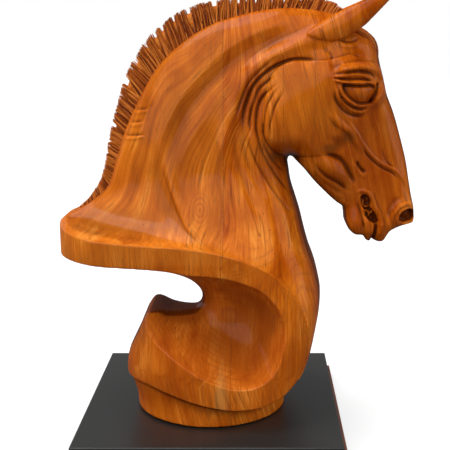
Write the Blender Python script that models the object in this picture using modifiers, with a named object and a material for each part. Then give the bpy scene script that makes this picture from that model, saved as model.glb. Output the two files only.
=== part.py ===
"""Carved wooden horse head and neck on its round foot, standing on a square black plinth."""
import bmesh
import bpy
import numpy as np

# Driving sizes, in metres.
CARVING_HEIGHT = 0.4674
PLINTH_SIDE = 0.287
SLAB_THICKNESS = 0.020
UNDERBOARD_OVERHANG = 0.007
UNDERBOARD_THICKNESS = 0.012
SEAT_GAP = 0.0003
CARVING_SET_FORWARD = 0.012
BOARD_EDGE_RADIUS = 0.0012

# How finely the carving is cut, in metres, and how many triangles its solid keeps.
CHART_STEP = 0.0010
REMESH_STEP = 0.0022
CARVING_TRIANGLES = 8700

# The carving is drawn this many units tall. In the drawing x runs from the middle of the foot
# towards the muzzle and z from the underside of the foot upwards, and every length below is in
# the drawing's units, so the whole figure follows CARVING_HEIGHT.
DRAWN_HEIGHT = 468.0
UNIT = CARVING_HEIGHT / DRAWN_HEIGHT

MANE_HALF_THICKNESS = 9.0
LEDGE_REACH = 80.0
LEDGE_END_ROUNDING = 60.0
LEDGE_END = -169.0
BOWL_REACH = 98.0
BOWL_MIDDLE = 9.0
FOOT_REACH = 85.0
SCOOP_LENGTH = 60.0
WEB_HALF_THICKNESS = 30.0
WEB_THICKENING = 12.0
EASED_EDGE = 1.2
BLOCK_HALF_THICKNESS = 8.0

# How broadly the form is rounded over where it meets its edges.
CREST_ROUNDING = 24.0
CHEST_ROUNDING = 40.0
JAW_ROUNDING = 26.0
SLOT_ROUNDING = 26.0
FOOT_ROUNDING = 7.0
SCOOP_STEEPNESS = 2.6

# The heights between which the band's reach passes from the bowl's to the ledge's, and the foot
# gives way to the chest.
LEDGE_TURN = (70, 175)
CHEST_TURN = (55, 75)
MANE_START = (150, 225)

# The outline of the carving seen from the side, run by run, each run a smooth line.
THROAT = [(84, 0), (85, 14), (89, 26), (98, 41), (108, 58), (115, 76), (120, 96), (123.5, 116),
          (124.5, 136), (122, 152), (117, 172), (110, 191), (105, 209), (100, 229), (95, 245),
          (90, 261), (87.5, 276), (86.5, 284), (88.5, 288), (92, 287)]
JAW = [(92, 287), (98, 281), (105, 274), (116, 261), (129, 248), (140, 238), (148, 232), (150, 224),
       (151, 216), (155, 207), (162, 200.5), (171, 199), (175, 194), (179, 192.5), (181.5, 195)]
FACE = [(181.5, 195), (185, 193), (190, 191.5), (195, 193), (199, 199), (203, 204), (211, 208),
        (219, 211), (227, 214), (229, 220), (228, 232), (225, 246), (222, 262), (218, 284),
        (211, 310), (203, 336), (195, 356), (190, 374), (186, 390), (183, 404), (178, 416),
        (168, 423), (156, 431), (143, 438), (146, 447)]
MANE_TIPS = [(146, 447), (132, 456), (110, 459), (75, 460), (34, 459), (8, 457), (-19, 450),
             (-40, 440), (-55, 428), (-71, 411), (-88, 384), (-101, 349), (-110, 318), (-116, 286),
             (-124, 260), (-138, 240), (-153, 227)]
LEDGE_TIP = [(-153, 227), (-160, 223.5), (-166, 219), (-169, 212), (-169, 197), (-169, 186),
             (-167, 182)]
SLOT = [(-167, 182), (-147, 182), (-106, 179), (-75, 177), (-55, 175), (-38, 170), (-25, 160),
        (-16, 147), (-11, 135), (-11, 124), (-17, 115.5), (-30, 113), (-46, 114), (-59, 117.5),
        (-68, 116.5), (-74, 111), (-77, 105)]
LIP = [(-77, 105), (-82, 93), (-89, 79), (-95, 66), (-98, 54), (-97, 42), (-92, 32), (-88, 20),
       (-86.5, 10), (-86, 0)]
OUTLINE = [THROAT, JAW, FACE, MANE_TIPS, LEDGE_TIP, SLOT, LIP]

# Lines on the carving's side: where the mane stands on the neck, and the two edges of the cut band.
CREST = [(-153, 227), (-143, 232), (-127, 242), (-112, 258), (-102, 289), (-90, 323), (-76, 352),
         (-59, 381), (-40, 402), (-16, 420), (4, 431), (18, 436), (49, 444), (80, 448), (104, 447),
         (126, 444), (146, 438)]
BAND_OUTER = [(-172, 214), (-158, 213), (-134, 209), (-96, 204.5), (-68, 202), (-36, 200),
              (-10, 197), (19, 191), (37, 185), (56, 177), (76, 165), (88, 152), (97, 139),
              (104, 122), (107, 104), (107, 84), (104, 71), (98, 58), (87, 45), (75, 36), (58, 29),
              (38, 26), (18, 26.5), (-15, 33), (-39, 39), (-64, 44), (-81, 44), (-102, 41)]
BAND_INNER = [(-172, 183), (-147, 182), (-106, 179), (-75, 177), (-45, 175), (-22, 171),
              (-2, 169.5), (19, 167), (38, 162), (56, 154), (70, 142), (78, 130), (82, 117),
              (82, 102), (79, 87), (75, 74), (67, 62), (56, 53.5), (41, 49), (18, 51), (-7, 62),
              (-30, 75), (-49, 86), (-61, 93), (-69, 101), (-73, 109), (-76, 120)]

# How far the bowl and the foot go to the left and to the right at each height: z, x.
BOWL_LEFT = [(40, -98), (54, -98), (66, -95), (79, -89), (93, -82), (105, -77), (118, -70)]
BOWL_RIGHT = [(30, 112), (60, 115), (90, 120), (116, 124), (150, 124)]
FOOT_LEFT = [(0, -86), (10, -86.5), (20, -88), (32, -92), (42, -97), (54, -98)]
FOOT_RIGHT = [(0, 84), (14, 85), (26, 89), (41, 98), (58, 108), (76, 115), (90, 118)]

# How quickly the ledge's top sinks back into the neck: x, length.
FLARE_SPREAD = [(-170, 9), (-60, 12), (20, 20), (80, 34), (110, 40)]

# How broadly the throat and the face are rounded over at each height: z, radius.
THROAT_ROUNDING = [(180, 40), (260, 34), (300, 30)]
FACE_ROUNDING = [(200, 14), (260, 15), (400, 20)]

# How thick half the neck and head are at places well inside their outline: x, z, half thickness.
SOUNDINGS = [(-140, 225, 12), (-110, 235, 22), (-80, 260, 28), (-90, 300, 24), (-60, 300, 32),
             (-30, 250, 40), (0, 240, 45), (0, 215, 52), (40, 225, 52), (70, 205, 56), (95, 180, 62),
             (110, 150, 66), (-60, 340, 28), (-20, 330, 38), (20, 310, 40), (55, 280, 41),
             (75, 250, 46), (-30, 390, 24), (0, 380, 32), (40, 350, 37), (20, 415, 26),
             (50, 400, 34), (70, 420, 30), (105, 430, 26), (100, 400, 36), (70, 370, 39),
             (65, 340, 43), (90, 350, 43), (90, 310, 40), (120, 370, 44), (120, 400, 38),
             (150, 365, 45), (165, 380, 43), (150, 410, 36), (175, 400, 33), (125, 330, 40),
             (120, 290, 30), (150, 320, 37), (175, 350, 34), (190, 330, 24), (150, 290, 29),
             (175, 300, 26), (200, 300, 20), (150, 250, 22), (175, 255, 24), (205, 265, 21),
             (165, 215, 21), (190, 210, 21), (215, 225, 24), (220, 250, 20)]

# The near ear: x and z of its middle line, distance out from the middle plane, half its width,
# half its thickness.
EAR = [(84, 404, 30, 5, 8), (96, 411, 31, 6.5, 9), (106, 415.5, 31, 8.5, 9.3),
       (117, 420, 31, 10.5, 10.5), (130, 424.5, 33, 13, 11), (144, 431, 35, 14, 11.3),
       (157, 438.5, 35.5, 13.2, 10), (166, 444.5, 34.5, 11.2, 8.6), (176, 451.5, 33, 8.8, 7),
       (186, 458.5, 31, 6.4, 5), (194, 463.5, 29, 4, 3.4), (201, 467.3, 27.5, 0.9, 0.9)]
EAR_SIDES = 32
EAR_CUP = 0.72
EAR_CUP_MIDDLE = 1.08 * np.pi
EAR_CUP_SPREAD = 0.34
EAR_INNER_LIP = 0.35


def smooth_line(points, steps=6):
    """An open smooth line through the points, with this many steps between each two."""
    points = np.array(points, float)
    before = 2 * points[0] - points[1]
    after = 2 * points[-1] - points[-2]
    ends = np.vstack([before, points, after])
    t = np.arange(steps)[:, None] / steps
    runs = []
    for a, b, c, d in zip(ends[:-3], ends[1:-2], ends[2:-1], ends[3:]):
        bend = 2 * a - 5 * b + 4 * c - d + t * (3 * (b - c) + d - a)
        runs.append(b + 0.5 * t * (c - a + t * bend))
    return np.vstack(runs + [points[-1:]])


def outline_loop():
    """The whole outline as one closed ring of points, without its first point repeated."""
    return np.vstack([smooth_line(run)[:-1] for run in OUTLINE])


def rounding(depth, radius):
    """0 at an edge, rising round a quarter circle to 1 at this radius in from it."""
    return np.sqrt(1 - (1 - np.clip(depth / radius, 0, 1)) ** 2)


def smoothstep(value, low, high):
    t = np.clip((value - low) / (high - low), 0, 1)
    return t * t * (3 - 2 * t)


class Chart:
    """A map of the carving's side, one number for each place x, z of a fine grid."""

    def __init__(self, step):
        self.step = step
        self.xs = np.arange(-182, 242, step)
        self.zs = np.arange(-8, 476, step)
        self.x, self.z = np.meshgrid(self.xs, self.zs)
        self.half = None
        self.edge = None
        self.keep = None

    def window(self, points, margin):
        """The rows and columns within this margin of the points."""
        low = np.min(points, axis=0) - margin
        high = np.max(points, axis=0) + margin
        columns = slice(*np.searchsorted(self.xs, (low[0], high[0])))
        rows = slice(*np.searchsorted(self.zs, (low[1], high[1])))
        return rows, columns

    def distance(self, line, reach=75.0):
        """Distance to a line, up to the reach, and on which side of it a place lies, left being +1."""
        best = np.full(self.x.shape, float(reach))
        side = np.zeros(self.x.shape)
        for start, end in zip(line[:-1], line[1:]):
            run = end - start
            length = np.hypot(*run)
            if length == 0:
                continue
            view = self.window((start, end), reach)
            dx = self.x[view] - start[0]
            dz = self.z[view] - start[1]
            t = np.clip((dx * run[0] + dz * run[1]) / length ** 2, 0, 1)
            gap = np.hypot(dx - t * run[0], dz - t * run[1])
            nearer = gap < best[view]
            best[view] = np.where(nearer, gap, best[view])
            turn = np.sign(run[0] * dz - run[1] * dx)
            side[view] = np.where(nearer, turn, side[view])
        return best, side

    def inside(self, loop):
        """True for the places inside a closed ring of points."""
        hits = np.zeros(self.x.shape, bool)
        for (ax, az), (bx, bz) in zip(loop, np.roll(loop, -1, axis=0)):
            rows = slice(*np.searchsorted(self.zs, (min(az, bz), max(az, bz))))
            level = self.zs[rows]
            if len(level):
                crossing = ax + (bx - ax) * (level - az) / (bz - az)
                hits[rows] ^= self.xs[None, :] < crossing[:, None]
        return hits

    def stroke(self, points, height, left_width, right_width=None, taper=0.25):
        """Raise a ridge, or with a height below 0 cut a groove, along a smooth line.

        The ends fade out over this share of the line; left and right are as the line runs."""
        line = smooth_line(points)
        right_width = right_width or left_width
        view = self.window(line, max(left_width, right_width))
        best = np.full(self.x[view].shape, 1e6)
        side = np.zeros(best.shape)
        along = np.zeros(best.shape)
        lengths = np.hypot(*np.diff(line, axis=0).T)
        gone = 0.0
        for start, end, length in zip(line[:-1], line[1:], lengths):
            run = end - start
            dx = self.x[view] - start[0]
            dz = self.z[view] - start[1]
            t = np.clip((dx * run[0] + dz * run[1]) / length ** 2, 0, 1)
            gap = np.hypot(dx - t * run[0], dz - t * run[1])
            nearer = gap < best
            best = np.where(nearer, gap, best)
            side = np.where(nearer, run[0] * dz - run[1] * dx, side)
            along = np.where(nearer, gone + t * length, along)
            gone += length
        width = np.where(side > 0, left_width, right_width)
        bump = np.clip(1 - (best / width) ** 2, 0, 1) ** 2
        share = along / gone
        fade = smoothstep(np.minimum(share, 1 - share), -0.02, taper) if taper else 1
        self.half[view] += height * bump * fade * self.keep[view]

    def swell(self, centre, radii, height, lean=0.0):
        """Raise or sink an oval patch, its first radius leaning up from X by this many degrees."""
        view = self.window([centre], max(radii))
        turn = np.radians(lean)
        dx = self.x[view] - centre[0]
        dz = self.z[view] - centre[1]
        along = (dx * np.cos(turn) + dz * np.sin(turn)) / radii[0]
        across = (dz * np.cos(turn) - dx * np.sin(turn)) / radii[1]
        bump = np.clip(1 - along ** 2 - across ** 2, 0, 1) ** 2
        self.half[view] += height * bump * self.keep[view]

    def plateau(self, points, height, shoulder):
        """Raise or sink everything inside a smooth ring, with a rounded shoulder this broad."""
        loop = smooth_line(list(points) + [points[0]])
        within = self.inside(loop)
        gap, _ = self.distance(loop, shoulder)
        self.half += height * np.where(within, rounding(gap, shoulder), 0) * self.keep

    def soften(self, field, spread):
        """The field blurred by this spread."""
        rows = np.fft.fftfreq(field.shape[0] * 2, self.step)
        columns = np.fft.rfftfreq(field.shape[1] * 2, self.step)
        fade = np.exp(-2 * (np.pi * spread) ** 2 * (rows[:, None] ** 2 + columns[None, :] ** 2))
        wide = np.pad(field, ((0, field.shape[0]), (0, field.shape[1])), mode="symmetric")
        return np.fft.irfft2(np.fft.rfft2(wide) * fade, wide.shape)[:field.shape[0], :field.shape[1]]

    def read(self, field, x, z):
        """The field between the grid's places."""
        column = np.clip((x - self.xs[0]) / self.step, 0, len(self.xs) - 1.001)
        row = np.clip((z - self.zs[0]) / self.step, 0, len(self.zs) - 1.001)
        i = row.astype(int)
        j = column.astype(int)
        v = row - i
        u = column - j
        low = field[i, j] * (1 - u) + field[i, j + 1] * u
        high = field[i + 1, j] * (1 - u) + field[i + 1, j + 1] * u
        return low * (1 - v) + high * v


def thin_plate(soundings, x, z):
    """The smoothest surface through the soundings, with a little give."""
    places = np.array(soundings, float)
    count = len(places)

    def bend(square):
        return square * np.log(square + 1e-9)

    apart = (places[:, None, :2] - places[None, :, :2]) ** 2
    matrix = np.zeros((count + 3, count + 3))
    matrix[:count, :count] = bend(apart.sum(axis=2)) + 40 * np.eye(count)
    matrix[:count, count] = matrix[count, :count] = 1
    matrix[:count, count + 1:] = places[:, :2]
    matrix[count + 1:, :count] = places[:, :2].T
    weights = np.linalg.solve(matrix, np.append(places[:, 2], [0, 0, 0]))
    surface = weights[count] + weights[count + 1] * x + weights[count + 2] * z
    for place, weight in zip(places, weights):
        surface = surface + weight * bend((x - place[0]) ** 2 + (z - place[1]) ** 2)
    return surface


def region_left_of(line, far_left=-260):
    """A ring round everything between an open line and the far left of the drawing."""
    return np.vstack([line, (far_left, line[-1][1]), (far_left, line[0][1])])


def smooth_value(at, pairs, spread=10):
    """Straight runs between the pairs, rounded at their corners and read at these places."""
    pairs = np.array(pairs, float)
    grid = np.arange(pairs[0, 0] - 2 * spread, pairs[-1, 0] + 2 * spread)
    bell = np.hanning(2 * spread + 1)
    padded = np.pad(np.interp(grid, pairs[:, 0], pairs[:, 1]), spread, mode="edge")
    return np.interp(at, grid, np.convolve(padded, bell / bell.sum(), mode="valid"))


def band_reach(x, z):
    """How far the cut band stands out from the middle plane, round the ledge and round the bowl."""
    left = smooth_value(z, BOWL_LEFT)
    right = smooth_value(z, BOWL_RIGHT)
    to_left = np.clip((BOWL_MIDDLE - x) / (BOWL_MIDDLE - left), 0, 1)
    to_right = np.clip((x - BOWL_MIDDLE) / (right - BOWL_MIDDLE), 0, 1)
    plan = np.where(x < BOWL_MIDDLE, np.sqrt(1 - to_left ** 2), (1 - to_right ** 4) ** 0.25)
    ledge = LEDGE_REACH * rounding(x - LEDGE_END, LEDGE_END_ROUNDING)
    return BOWL_REACH * plan + (ledge - BOWL_REACH * plan) * smoothstep(z, *LEDGE_TURN)


def foot_reach(x, z):
    """The round foot, which spreads to the bowl's width at its two sides."""
    left = smooth_value(z, FOOT_LEFT)
    right = smooth_value(z, FOOT_RIGHT)
    across = (2 * x - left - right) / (right - left)
    return FOOT_REACH * np.sqrt(np.clip(1 - across ** 2, 0, 1))


def base_form(chart):
    """Fill the chart with the half thickness of the smooth form, before any small carving."""
    x = chart.x
    z = chart.z
    loop = outline_loop()
    within = chart.inside(loop)
    gap, _ = chart.distance(np.vstack([loop, loop[:1]]))
    chart.edge = np.where(within, -gap, gap)
    outer = smooth_line(BAND_OUTER)
    inner = smooth_line(BAND_INNER)
    below_outer = chart.inside(region_left_of(outer))
    in_hollow = chart.inside(region_left_of(inner))
    to_outer, _ = chart.distance(outer, 200)
    to_inner, _ = chart.distance(inner)
    reach = band_reach(x, z)

    crest = smooth_line(CREST)
    to_crest, crest_side = chart.distance(crest)
    to_throat, _ = chart.distance(smooth_line(THROAT))
    to_jaw, _ = chart.distance(smooth_line(JAW))
    to_face, _ = chart.distance(smooth_line(FACE))
    core = thin_plate(SOUNDINGS, x, z)
    to_face = to_face + (chart.soften(to_face, 3) - to_face) * smoothstep(to_face, 3, 10)
    front = rounding(to_throat, smooth_value(z, THROAT_ROUNDING)) * rounding(to_jaw, JAW_ROUNDING)
    front = front * rounding(to_face, smooth_value(z, FACE_ROUNDING))
    back = MANE_HALF_THICKNESS + (core - MANE_HALF_THICKNESS) * rounding(to_crest, CREST_ROUNDING)
    neck = back * front
    spread = smooth_value(x, FLARE_SPREAD)
    from_edges = 1 - np.exp(-(to_throat + to_outer) / CHEST_ROUNDING)
    chest = rounding(to_throat, CHEST_ROUNDING * from_edges + 1e-3)
    flare = neck + (reach * chest - neck) * np.exp(-to_outer / spread)
    mane = (crest_side > 0) & (x < MANE_START[0]) & (z > MANE_START[1])
    flare = np.where(mane, MANE_HALF_THICKNESS, flare)

    to_slot, _ = chart.distance(smooth_line(SLOT))
    depth = to_inner + (chart.soften(to_inner, 6) - to_inner) * smoothstep(to_inner, 2, 22)
    web = WEB_HALF_THICKNESS + WEB_THICKENING * smoothstep(110 - z, 0, 60)
    web = web * rounding(to_slot, SLOT_ROUNDING)
    hollow = web + (reach - web) * np.clip(1 - depth / SCOOP_LENGTH, 0, 1) ** SCOOP_STEEPNESS

    foot = foot_reach(x, z)
    foot = foot + (reach - foot) * np.clip(1 - to_outer / FOOT_ROUNDING, 0, 1) ** 2
    low = 1 - smoothstep(z + np.clip(x - 80, 0, 20), *CHEST_TURN)
    below = foot * low + flare * (1 - low)

    half = np.where(in_hollow, hollow, reach)
    chart.half = np.where(below_outer, half, np.where(z < 90, below, flare))
    chart.keep = rounding(-chart.edge, 5)
    return chart


def carve_neck(chart):
    """The hollow under the crest, the muscles of the neck and the folds of the throat."""
    chart.stroke([(112, 432), (88, 422), (66, 413), (46, 404), (28, 393), (13, 380), (-4, 362),
                  (-22, 338), (-36, 308), (-42, 280)], -5.5, 17, 15)
    chart.stroke([(104, 420), (77, 404), (57, 390), (42, 375), (31, 356), (25, 333), (24, 305)],
                 4.5, 12)
    chart.stroke([(-50, 290), (-47, 281), (-42, 263), (-34, 242), (-23.5, 221), (-12, 210.5),
                  (1, 201)], 3.0, 11, 4.5)
    chart.swell((-7, 238), (38, 28), 4.5, 65)
    chart.stroke([(-58, 290), (-54, 262), (-46, 238), (-34, 216)], -3.0, 13)
    chart.stroke([(44, 330), (48, 312), (58, 284), (77, 254), (99, 225)], 3.0, 6)
    chart.stroke([(53, 318), (58, 300), (68, 281), (84, 258), (96, 242)], -2.6, 5)
    chart.stroke([(34, 318), (38, 292), (52, 260), (74, 226)], -2.4, 8)
    chart.stroke([(18, 330), (20, 290), (34, 250), (56, 214)], 2.0, 12)
    chart.stroke([(62, 390), (76, 399), (90, 407.5), (104, 414.5), (117, 420), (130, 424), (144, 430)],
                 7.0, 13, 20, 0.5)


def carve_cheek(chart):
    """The flat round cheek, the folds behind it and the jaw under it."""
    before = chart.half.copy()
    chart.plateau([(150, 400), (124, 394), (107, 394), (91, 394), (79, 389), (69, 380), (63, 366),
                   (60, 350), (58, 333), (60, 315), (67, 302), (78, 293), (90, 290), (111, 291),
                   (132, 293), (160, 290), (190, 300), (190, 380)], 5.5, 13)
    towards_face = smoothstep(chart.x + 0.35 * (340 - chart.z), 105, 165)
    chart.half += (before - chart.half) * towards_face
    for back, depth in ((0, 3.0), (7, 2.6), (14, 2.2)):
        chart.stroke([(118, 389 + back * 0.4), (92, 394.5 + back * 0.5), (72, 387 + back * 0.6),
                      (56, 372 + back * 0.7), (48 - back * 0.6, 350), (46 - back * 0.7, 328),
                      (52 - back * 0.7, 306)], -depth, 3.6)
    chart.stroke([(76, 372), (62, 357), (54, 340), (53, 322), (60, 303)], -2.4, 3.4)
    chart.stroke([(81, 363), (72, 347), (67, 332), (66, 318), (72, 302)], -2.0, 3.4)
    chart.swell((70, 296), (20, 12), -3.5, -50)
    chart.swell((136, 276), (24, 10), 5.5, -50)
    chart.stroke([(114, 285), (125, 271), (142, 261), (154, 250)], -3.0, 4.4)
    chart.stroke([(122, 294), (136, 291.5), (146, 285), (154, 271.5), (162, 256)], -3.2, 4.6)
    chart.stroke([(126, 341), (140, 327), (152, 318), (160, 306), (168, 292)], 3.2, 7, 5)
    chart.swell((140, 306), (13, 8), -2.6, -40)
    chart.stroke([(142, 340), (150, 329), (159, 318), (167, 305), (177, 292), (190, 281.5),
                  (203, 275), (213, 264), (219, 252), (222, 241)], 2.2, 3.4)
    chart.swell((116, 397.5), (17, 10), 2.6, -8)
    chart.swell((135, 385), (9, 12), -2.6, 10)


def carve_eye(chart):
    """The heavy brow, the two lids and the eyeball between them."""
    chart.swell((160, 365), (36, 30), 4.0, -15)
    chart.plateau([(141, 371), (150, 371), (160, 370.5), (170, 371), (177.5, 367), (177, 357),
                   (173, 348.5), (164, 346.5), (156, 349), (148, 355), (142.5, 363)], -6.0, 2.6)
    chart.swell((160, 360), (20, 17), 8.0, -10)
    chart.stroke([(128, 378), (137, 382), (148, 385.5), (160, 387), (172, 386), (182, 382),
                  (189, 374), (189, 364), (183, 353), (174, 342)], 5.5, 6.0, 5.5, 0.2)
    chart.stroke([(131, 377), (144, 375.5), (156, 374.5), (169, 375.5), (178, 371)], -4.0, 3.2)
    chart.stroke([(132, 373), (141, 370.8), (150, 369.4), (158, 368.6), (168, 369.6), (176, 369),
                  (181, 364)], 3.8, 3.0)
    chart.stroke([(181.5, 369), (181, 360), (176, 348)], -4.5, 3.6)
    chart.stroke([(136, 367), (139, 357.5), (145.5, 349), (152, 344), (159, 341), (166, 340),
                  (174, 343)], 3.2, 3.6)


def carve_muzzle(chart):
    """The open mouth, the chin and the flared nostril."""
    chart.stroke([(181, 224), (184, 217), (184.2, 207), (182, 190)], -6.0, 3.6, 3.6, 0)
    chart.plateau([(165.5, 247.5), (170.5, 248), (175.5, 244), (178.5, 236), (182, 229), (187, 222),
                   (187, 216), (182, 216), (177, 220), (172, 226), (169, 233), (166.5, 240)],
                  -6.5, 3.0)
    chart.stroke([(160.5, 247), (164, 251.5), (170, 252.4), (175.5, 249.5), (179.5, 243), (183, 234),
                  (187.5, 226), (190.5, 216), (191.5, 206), (193.5, 199)], 3.0, 3.6)
    chart.stroke([(161.5, 243), (165, 234), (168.5, 222.5), (172, 208)], -2.2, 3.8)
    chart.swell((157.5, 217), (16, 20), 3.6, 0)
    chart.swell((215, 226), (20, 17), 4.0, 10)
    chart.plateau([(207.5, 217.5), (209, 225), (214, 230), (221, 231), (227, 227.5), (229, 221),
                   (223, 216.5), (214, 215.5)], -11.0, 4.0)
    chart.stroke([(203, 216), (202.5, 222), (204.5, 229), (210, 235), (217, 237.6), (224, 235.5),
                  (229, 228)], 3.2, 3.8)


def carve_relief(chart):
    carve_neck(chart)
    carve_cheek(chart)
    carve_eye(chart)
    carve_muzzle(chart)
    return chart


def add_object(name, mesh, collection):
    thing = bpy.data.objects.new(name, mesh)
    collection.objects.link(thing)
    return thing


def apply_modifier(thing, kind, **settings):
    """Put one modifier on an object and keep its result as the mesh."""
    bpy.context.view_layer.objects.active = thing
    modifier = thing.modifiers.new(kind.title(), kind)
    for setting, value in settings.items():
        setattr(modifier, setting, value)
    bpy.ops.object.modifier_apply(modifier=modifier.name)


def points_of(mesh):
    points = np.empty(len(mesh.vertices) * 3)
    mesh.vertices.foreach_get("co", points)
    return points.reshape(-1, 3)


def outline_slab(half_depth, collection):
    """The outline as a flat board of this half depth, in the drawing's units, upright along Y."""
    loop = outline_loop()
    curve = bpy.data.curves.new("outline", "CURVE")
    curve.dimensions = "2D"
    curve.fill_mode = "BOTH"
    curve.extrude = half_depth
    spline = curve.splines.new("POLY")
    spline.points.add(len(loop) - 1)
    for point, (x, z) in zip(spline.points, loop):
        point.co = (x, z, 0, 1)
    spline.use_cyclic_u = True
    drawn = add_object("outline", curve, collection)
    mesh = bpy.data.meshes.new_from_object(drawn)
    bpy.data.objects.remove(drawn)
    flat = points_of(mesh)
    upright = np.column_stack([flat[:, 0], -flat[:, 2], flat[:, 1]])
    mesh.vertices.foreach_set("co", upright.ravel())
    return add_object("horse_carving", mesh, collection)


def ear_mesh(side):
    """One cupped ear, lofted through its sections; side is -1 for the near ear, 1 for the far one."""
    rows = smooth_line(EAR, 4)
    along = np.gradient(rows[:, :2], axis=0)
    along = along / np.linalg.norm(along, axis=1)[:, None]
    angles = np.linspace(0, 2 * np.pi, EAR_SIDES, endpoint=False)
    form = bmesh.new()
    rings = []
    for row, (ax, az) in zip(rows, along):
        x, z, out, width, thick = row
        ring = []
        for angle in angles:
            round_cup = 1 - EAR_CUP * np.exp(-((angle - EAR_CUP_MIDDLE) / EAR_CUP_SPREAD) ** 2)
            across = width * np.cos(angle) * round_cup
            outward = thick * np.sin(angle) * round_cup
            if np.pi < angle < 1.5 * np.pi:
                across *= 1 + EAR_INNER_LIP * np.sin(angle) ** 2
            place = (x - az * across, side * (out + outward), z + ax * across)
            ring.append(form.verts.new(place))
        rings.append(ring)
    for low, high in zip(rings[:-1], rings[1:]):
        for i in range(EAR_SIDES):
            j = (i + 1) % EAR_SIDES
            form.faces.new((low[i], low[j], high[j], high[i]))
    form.faces.new(rings[0])
    form.faces.new(rings[-1])
    bmesh.ops.recalc_face_normals(form, faces=form.faces)
    mesh = bpy.data.meshes.new("ear")
    form.to_mesh(mesh)
    form.free()
    return mesh


def depth_into(chart, points):
    """Distance from each point to the carved surface, below 0 inside, with the cut edges eased."""
    x, y, z = points.T
    half = chart.read(chart.half, x, z)
    slope = chart.read(chart.slope, x, z)
    face = (np.abs(y) - half) / slope + EASED_EDGE
    edge = chart.read(chart.edge, x, z) + EASED_EDGE
    outside = np.hypot(np.maximum(face, 0), np.maximum(edge, 0))
    return outside + np.minimum(np.maximum(face, edge), 0) - EASED_EDGE


def settle(chart, points, rounds=3):
    """Move each point straight onto the carved surface, but not the points of the ears."""
    for _ in range(rounds):
        depth = depth_into(chart, points)
        pull = np.zeros_like(points)
        for axis in range(3):
            shift = np.zeros(3)
            shift[axis] = 0.5
            pull[:, axis] = depth_into(chart, points + shift) - depth_into(chart, points - shift)
        pull = pull / (np.linalg.norm(pull, axis=1)[:, None] + 1e-9)
        near = np.where(depth < 3.0, np.clip(depth, -1.5, 1.5), 0)
        points = points - 0.8 * near[:, None] * pull
    return points


def build_carving(collection):
    """The whole wooden carving as one solid."""
    chart = carve_relief(base_form(Chart(CHART_STEP / UNIT)))
    slope_z, slope_x = np.gradient(chart.half, chart.step)
    chart.slope = np.sqrt(1 + slope_x ** 2 + slope_z ** 2)
    carving = outline_slab(BLOCK_HALF_THICKNESS, collection)
    apply_modifier(carving, "REMESH", mode="VOXEL", voxel_size=REMESH_STEP / UNIT)
    points = points_of(carving.data)
    half = np.maximum(chart.read(chart.half, points[:, 0], points[:, 2]), 1.0)
    points[:, 1] *= half / BLOCK_HALF_THICKNESS
    carving.data.vertices.foreach_set("co", points.ravel())
    form = bmesh.new()
    form.from_mesh(carving.data)
    for side in (-1, 1):
        form.from_mesh(ear_mesh(side))
    form.to_mesh(carving.data)
    form.free()
    apply_modifier(carving, "REMESH", mode="VOXEL", voxel_size=REMESH_STEP / UNIT)
    points = settle(chart, points_of(carving.data))
    carving.data.vertices.foreach_set("co", points.ravel())
    apply_modifier(carving, "SMOOTH", factor=0.4, iterations=2)
    points = points_of(carving.data)
    points[:, 2] = np.maximum(points[:, 2], 0)
    foot_level = UNDERBOARD_THICKNESS + SLAB_THICKNESS + 2 * SEAT_GAP
    placed = points * UNIT + np.array([0, -CARVING_SET_FORWARD, foot_level])
    carving.data.vertices.foreach_set("co", placed.ravel())
    count = 2 * len(carving.data.polygons)
    apply_modifier(carving, "DECIMATE", ratio=CARVING_TRIANGLES / count, use_symmetry=True,
                   symmetry_axis="Y")
    return carving


def board(name, side, thickness, bottom, collection):
    """A square board with eased edges, its middle over the origin."""
    form = bmesh.new()
    bmesh.ops.create_cube(form, size=1)
    bmesh.ops.scale(form, verts=form.verts, vec=(side, side, thickness))
    bmesh.ops.translate(form, verts=form.verts, vec=(0, 0, bottom + thickness / 2))
    mesh = bpy.data.meshes.new(name)
    form.to_mesh(mesh)
    form.free()
    thing = add_object(name, mesh, collection)
    apply_modifier(thing, "BEVEL", width=BOARD_EDGE_RADIUS, segments=3)
    return thing


def finish_with(thing, name, colour, roughness):
    """Give an object its own material."""
    material = bpy.data.materials.new(name)
    material.use_nodes = True
    shader = material.node_tree.nodes["Principled BSDF"]
    shader.inputs["Base Color"].default_value = (*colour, 1)
    shader.inputs["Roughness"].default_value = roughness
    shader.inputs["Metallic"].default_value = 0.0
    thing.data.materials.clear()
    thing.data.materials.append(material)


def clear_scene():
    for thing in list(bpy.data.objects):
        bpy.data.objects.remove(thing)


def main():
    clear_scene()
    collection = bpy.data.collections.new("carved_horse_head")
    bpy.context.scene.collection.children.link(collection)
    carving = build_carving(collection)
    finish_with(carving, "polished_hardwood", (0.42, 0.16, 0.045), 0.35)
    slab_level = UNDERBOARD_THICKNESS + SEAT_GAP
    slab = board("plinth_slab", PLINTH_SIDE, SLAB_THICKNESS, slab_level, collection)
    finish_with(slab, "black_satin_paint", (0.018, 0.018, 0.018), 0.4)
    under_side = PLINTH_SIDE + 2 * UNDERBOARD_OVERHANG
    under = board("plinth_underboard", under_side, UNDERBOARD_THICKNESS, 0, collection)
    finish_with(under, "red_brown_board", (0.16, 0.05, 0.03), 0.5)


main()
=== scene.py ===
import math

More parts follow.
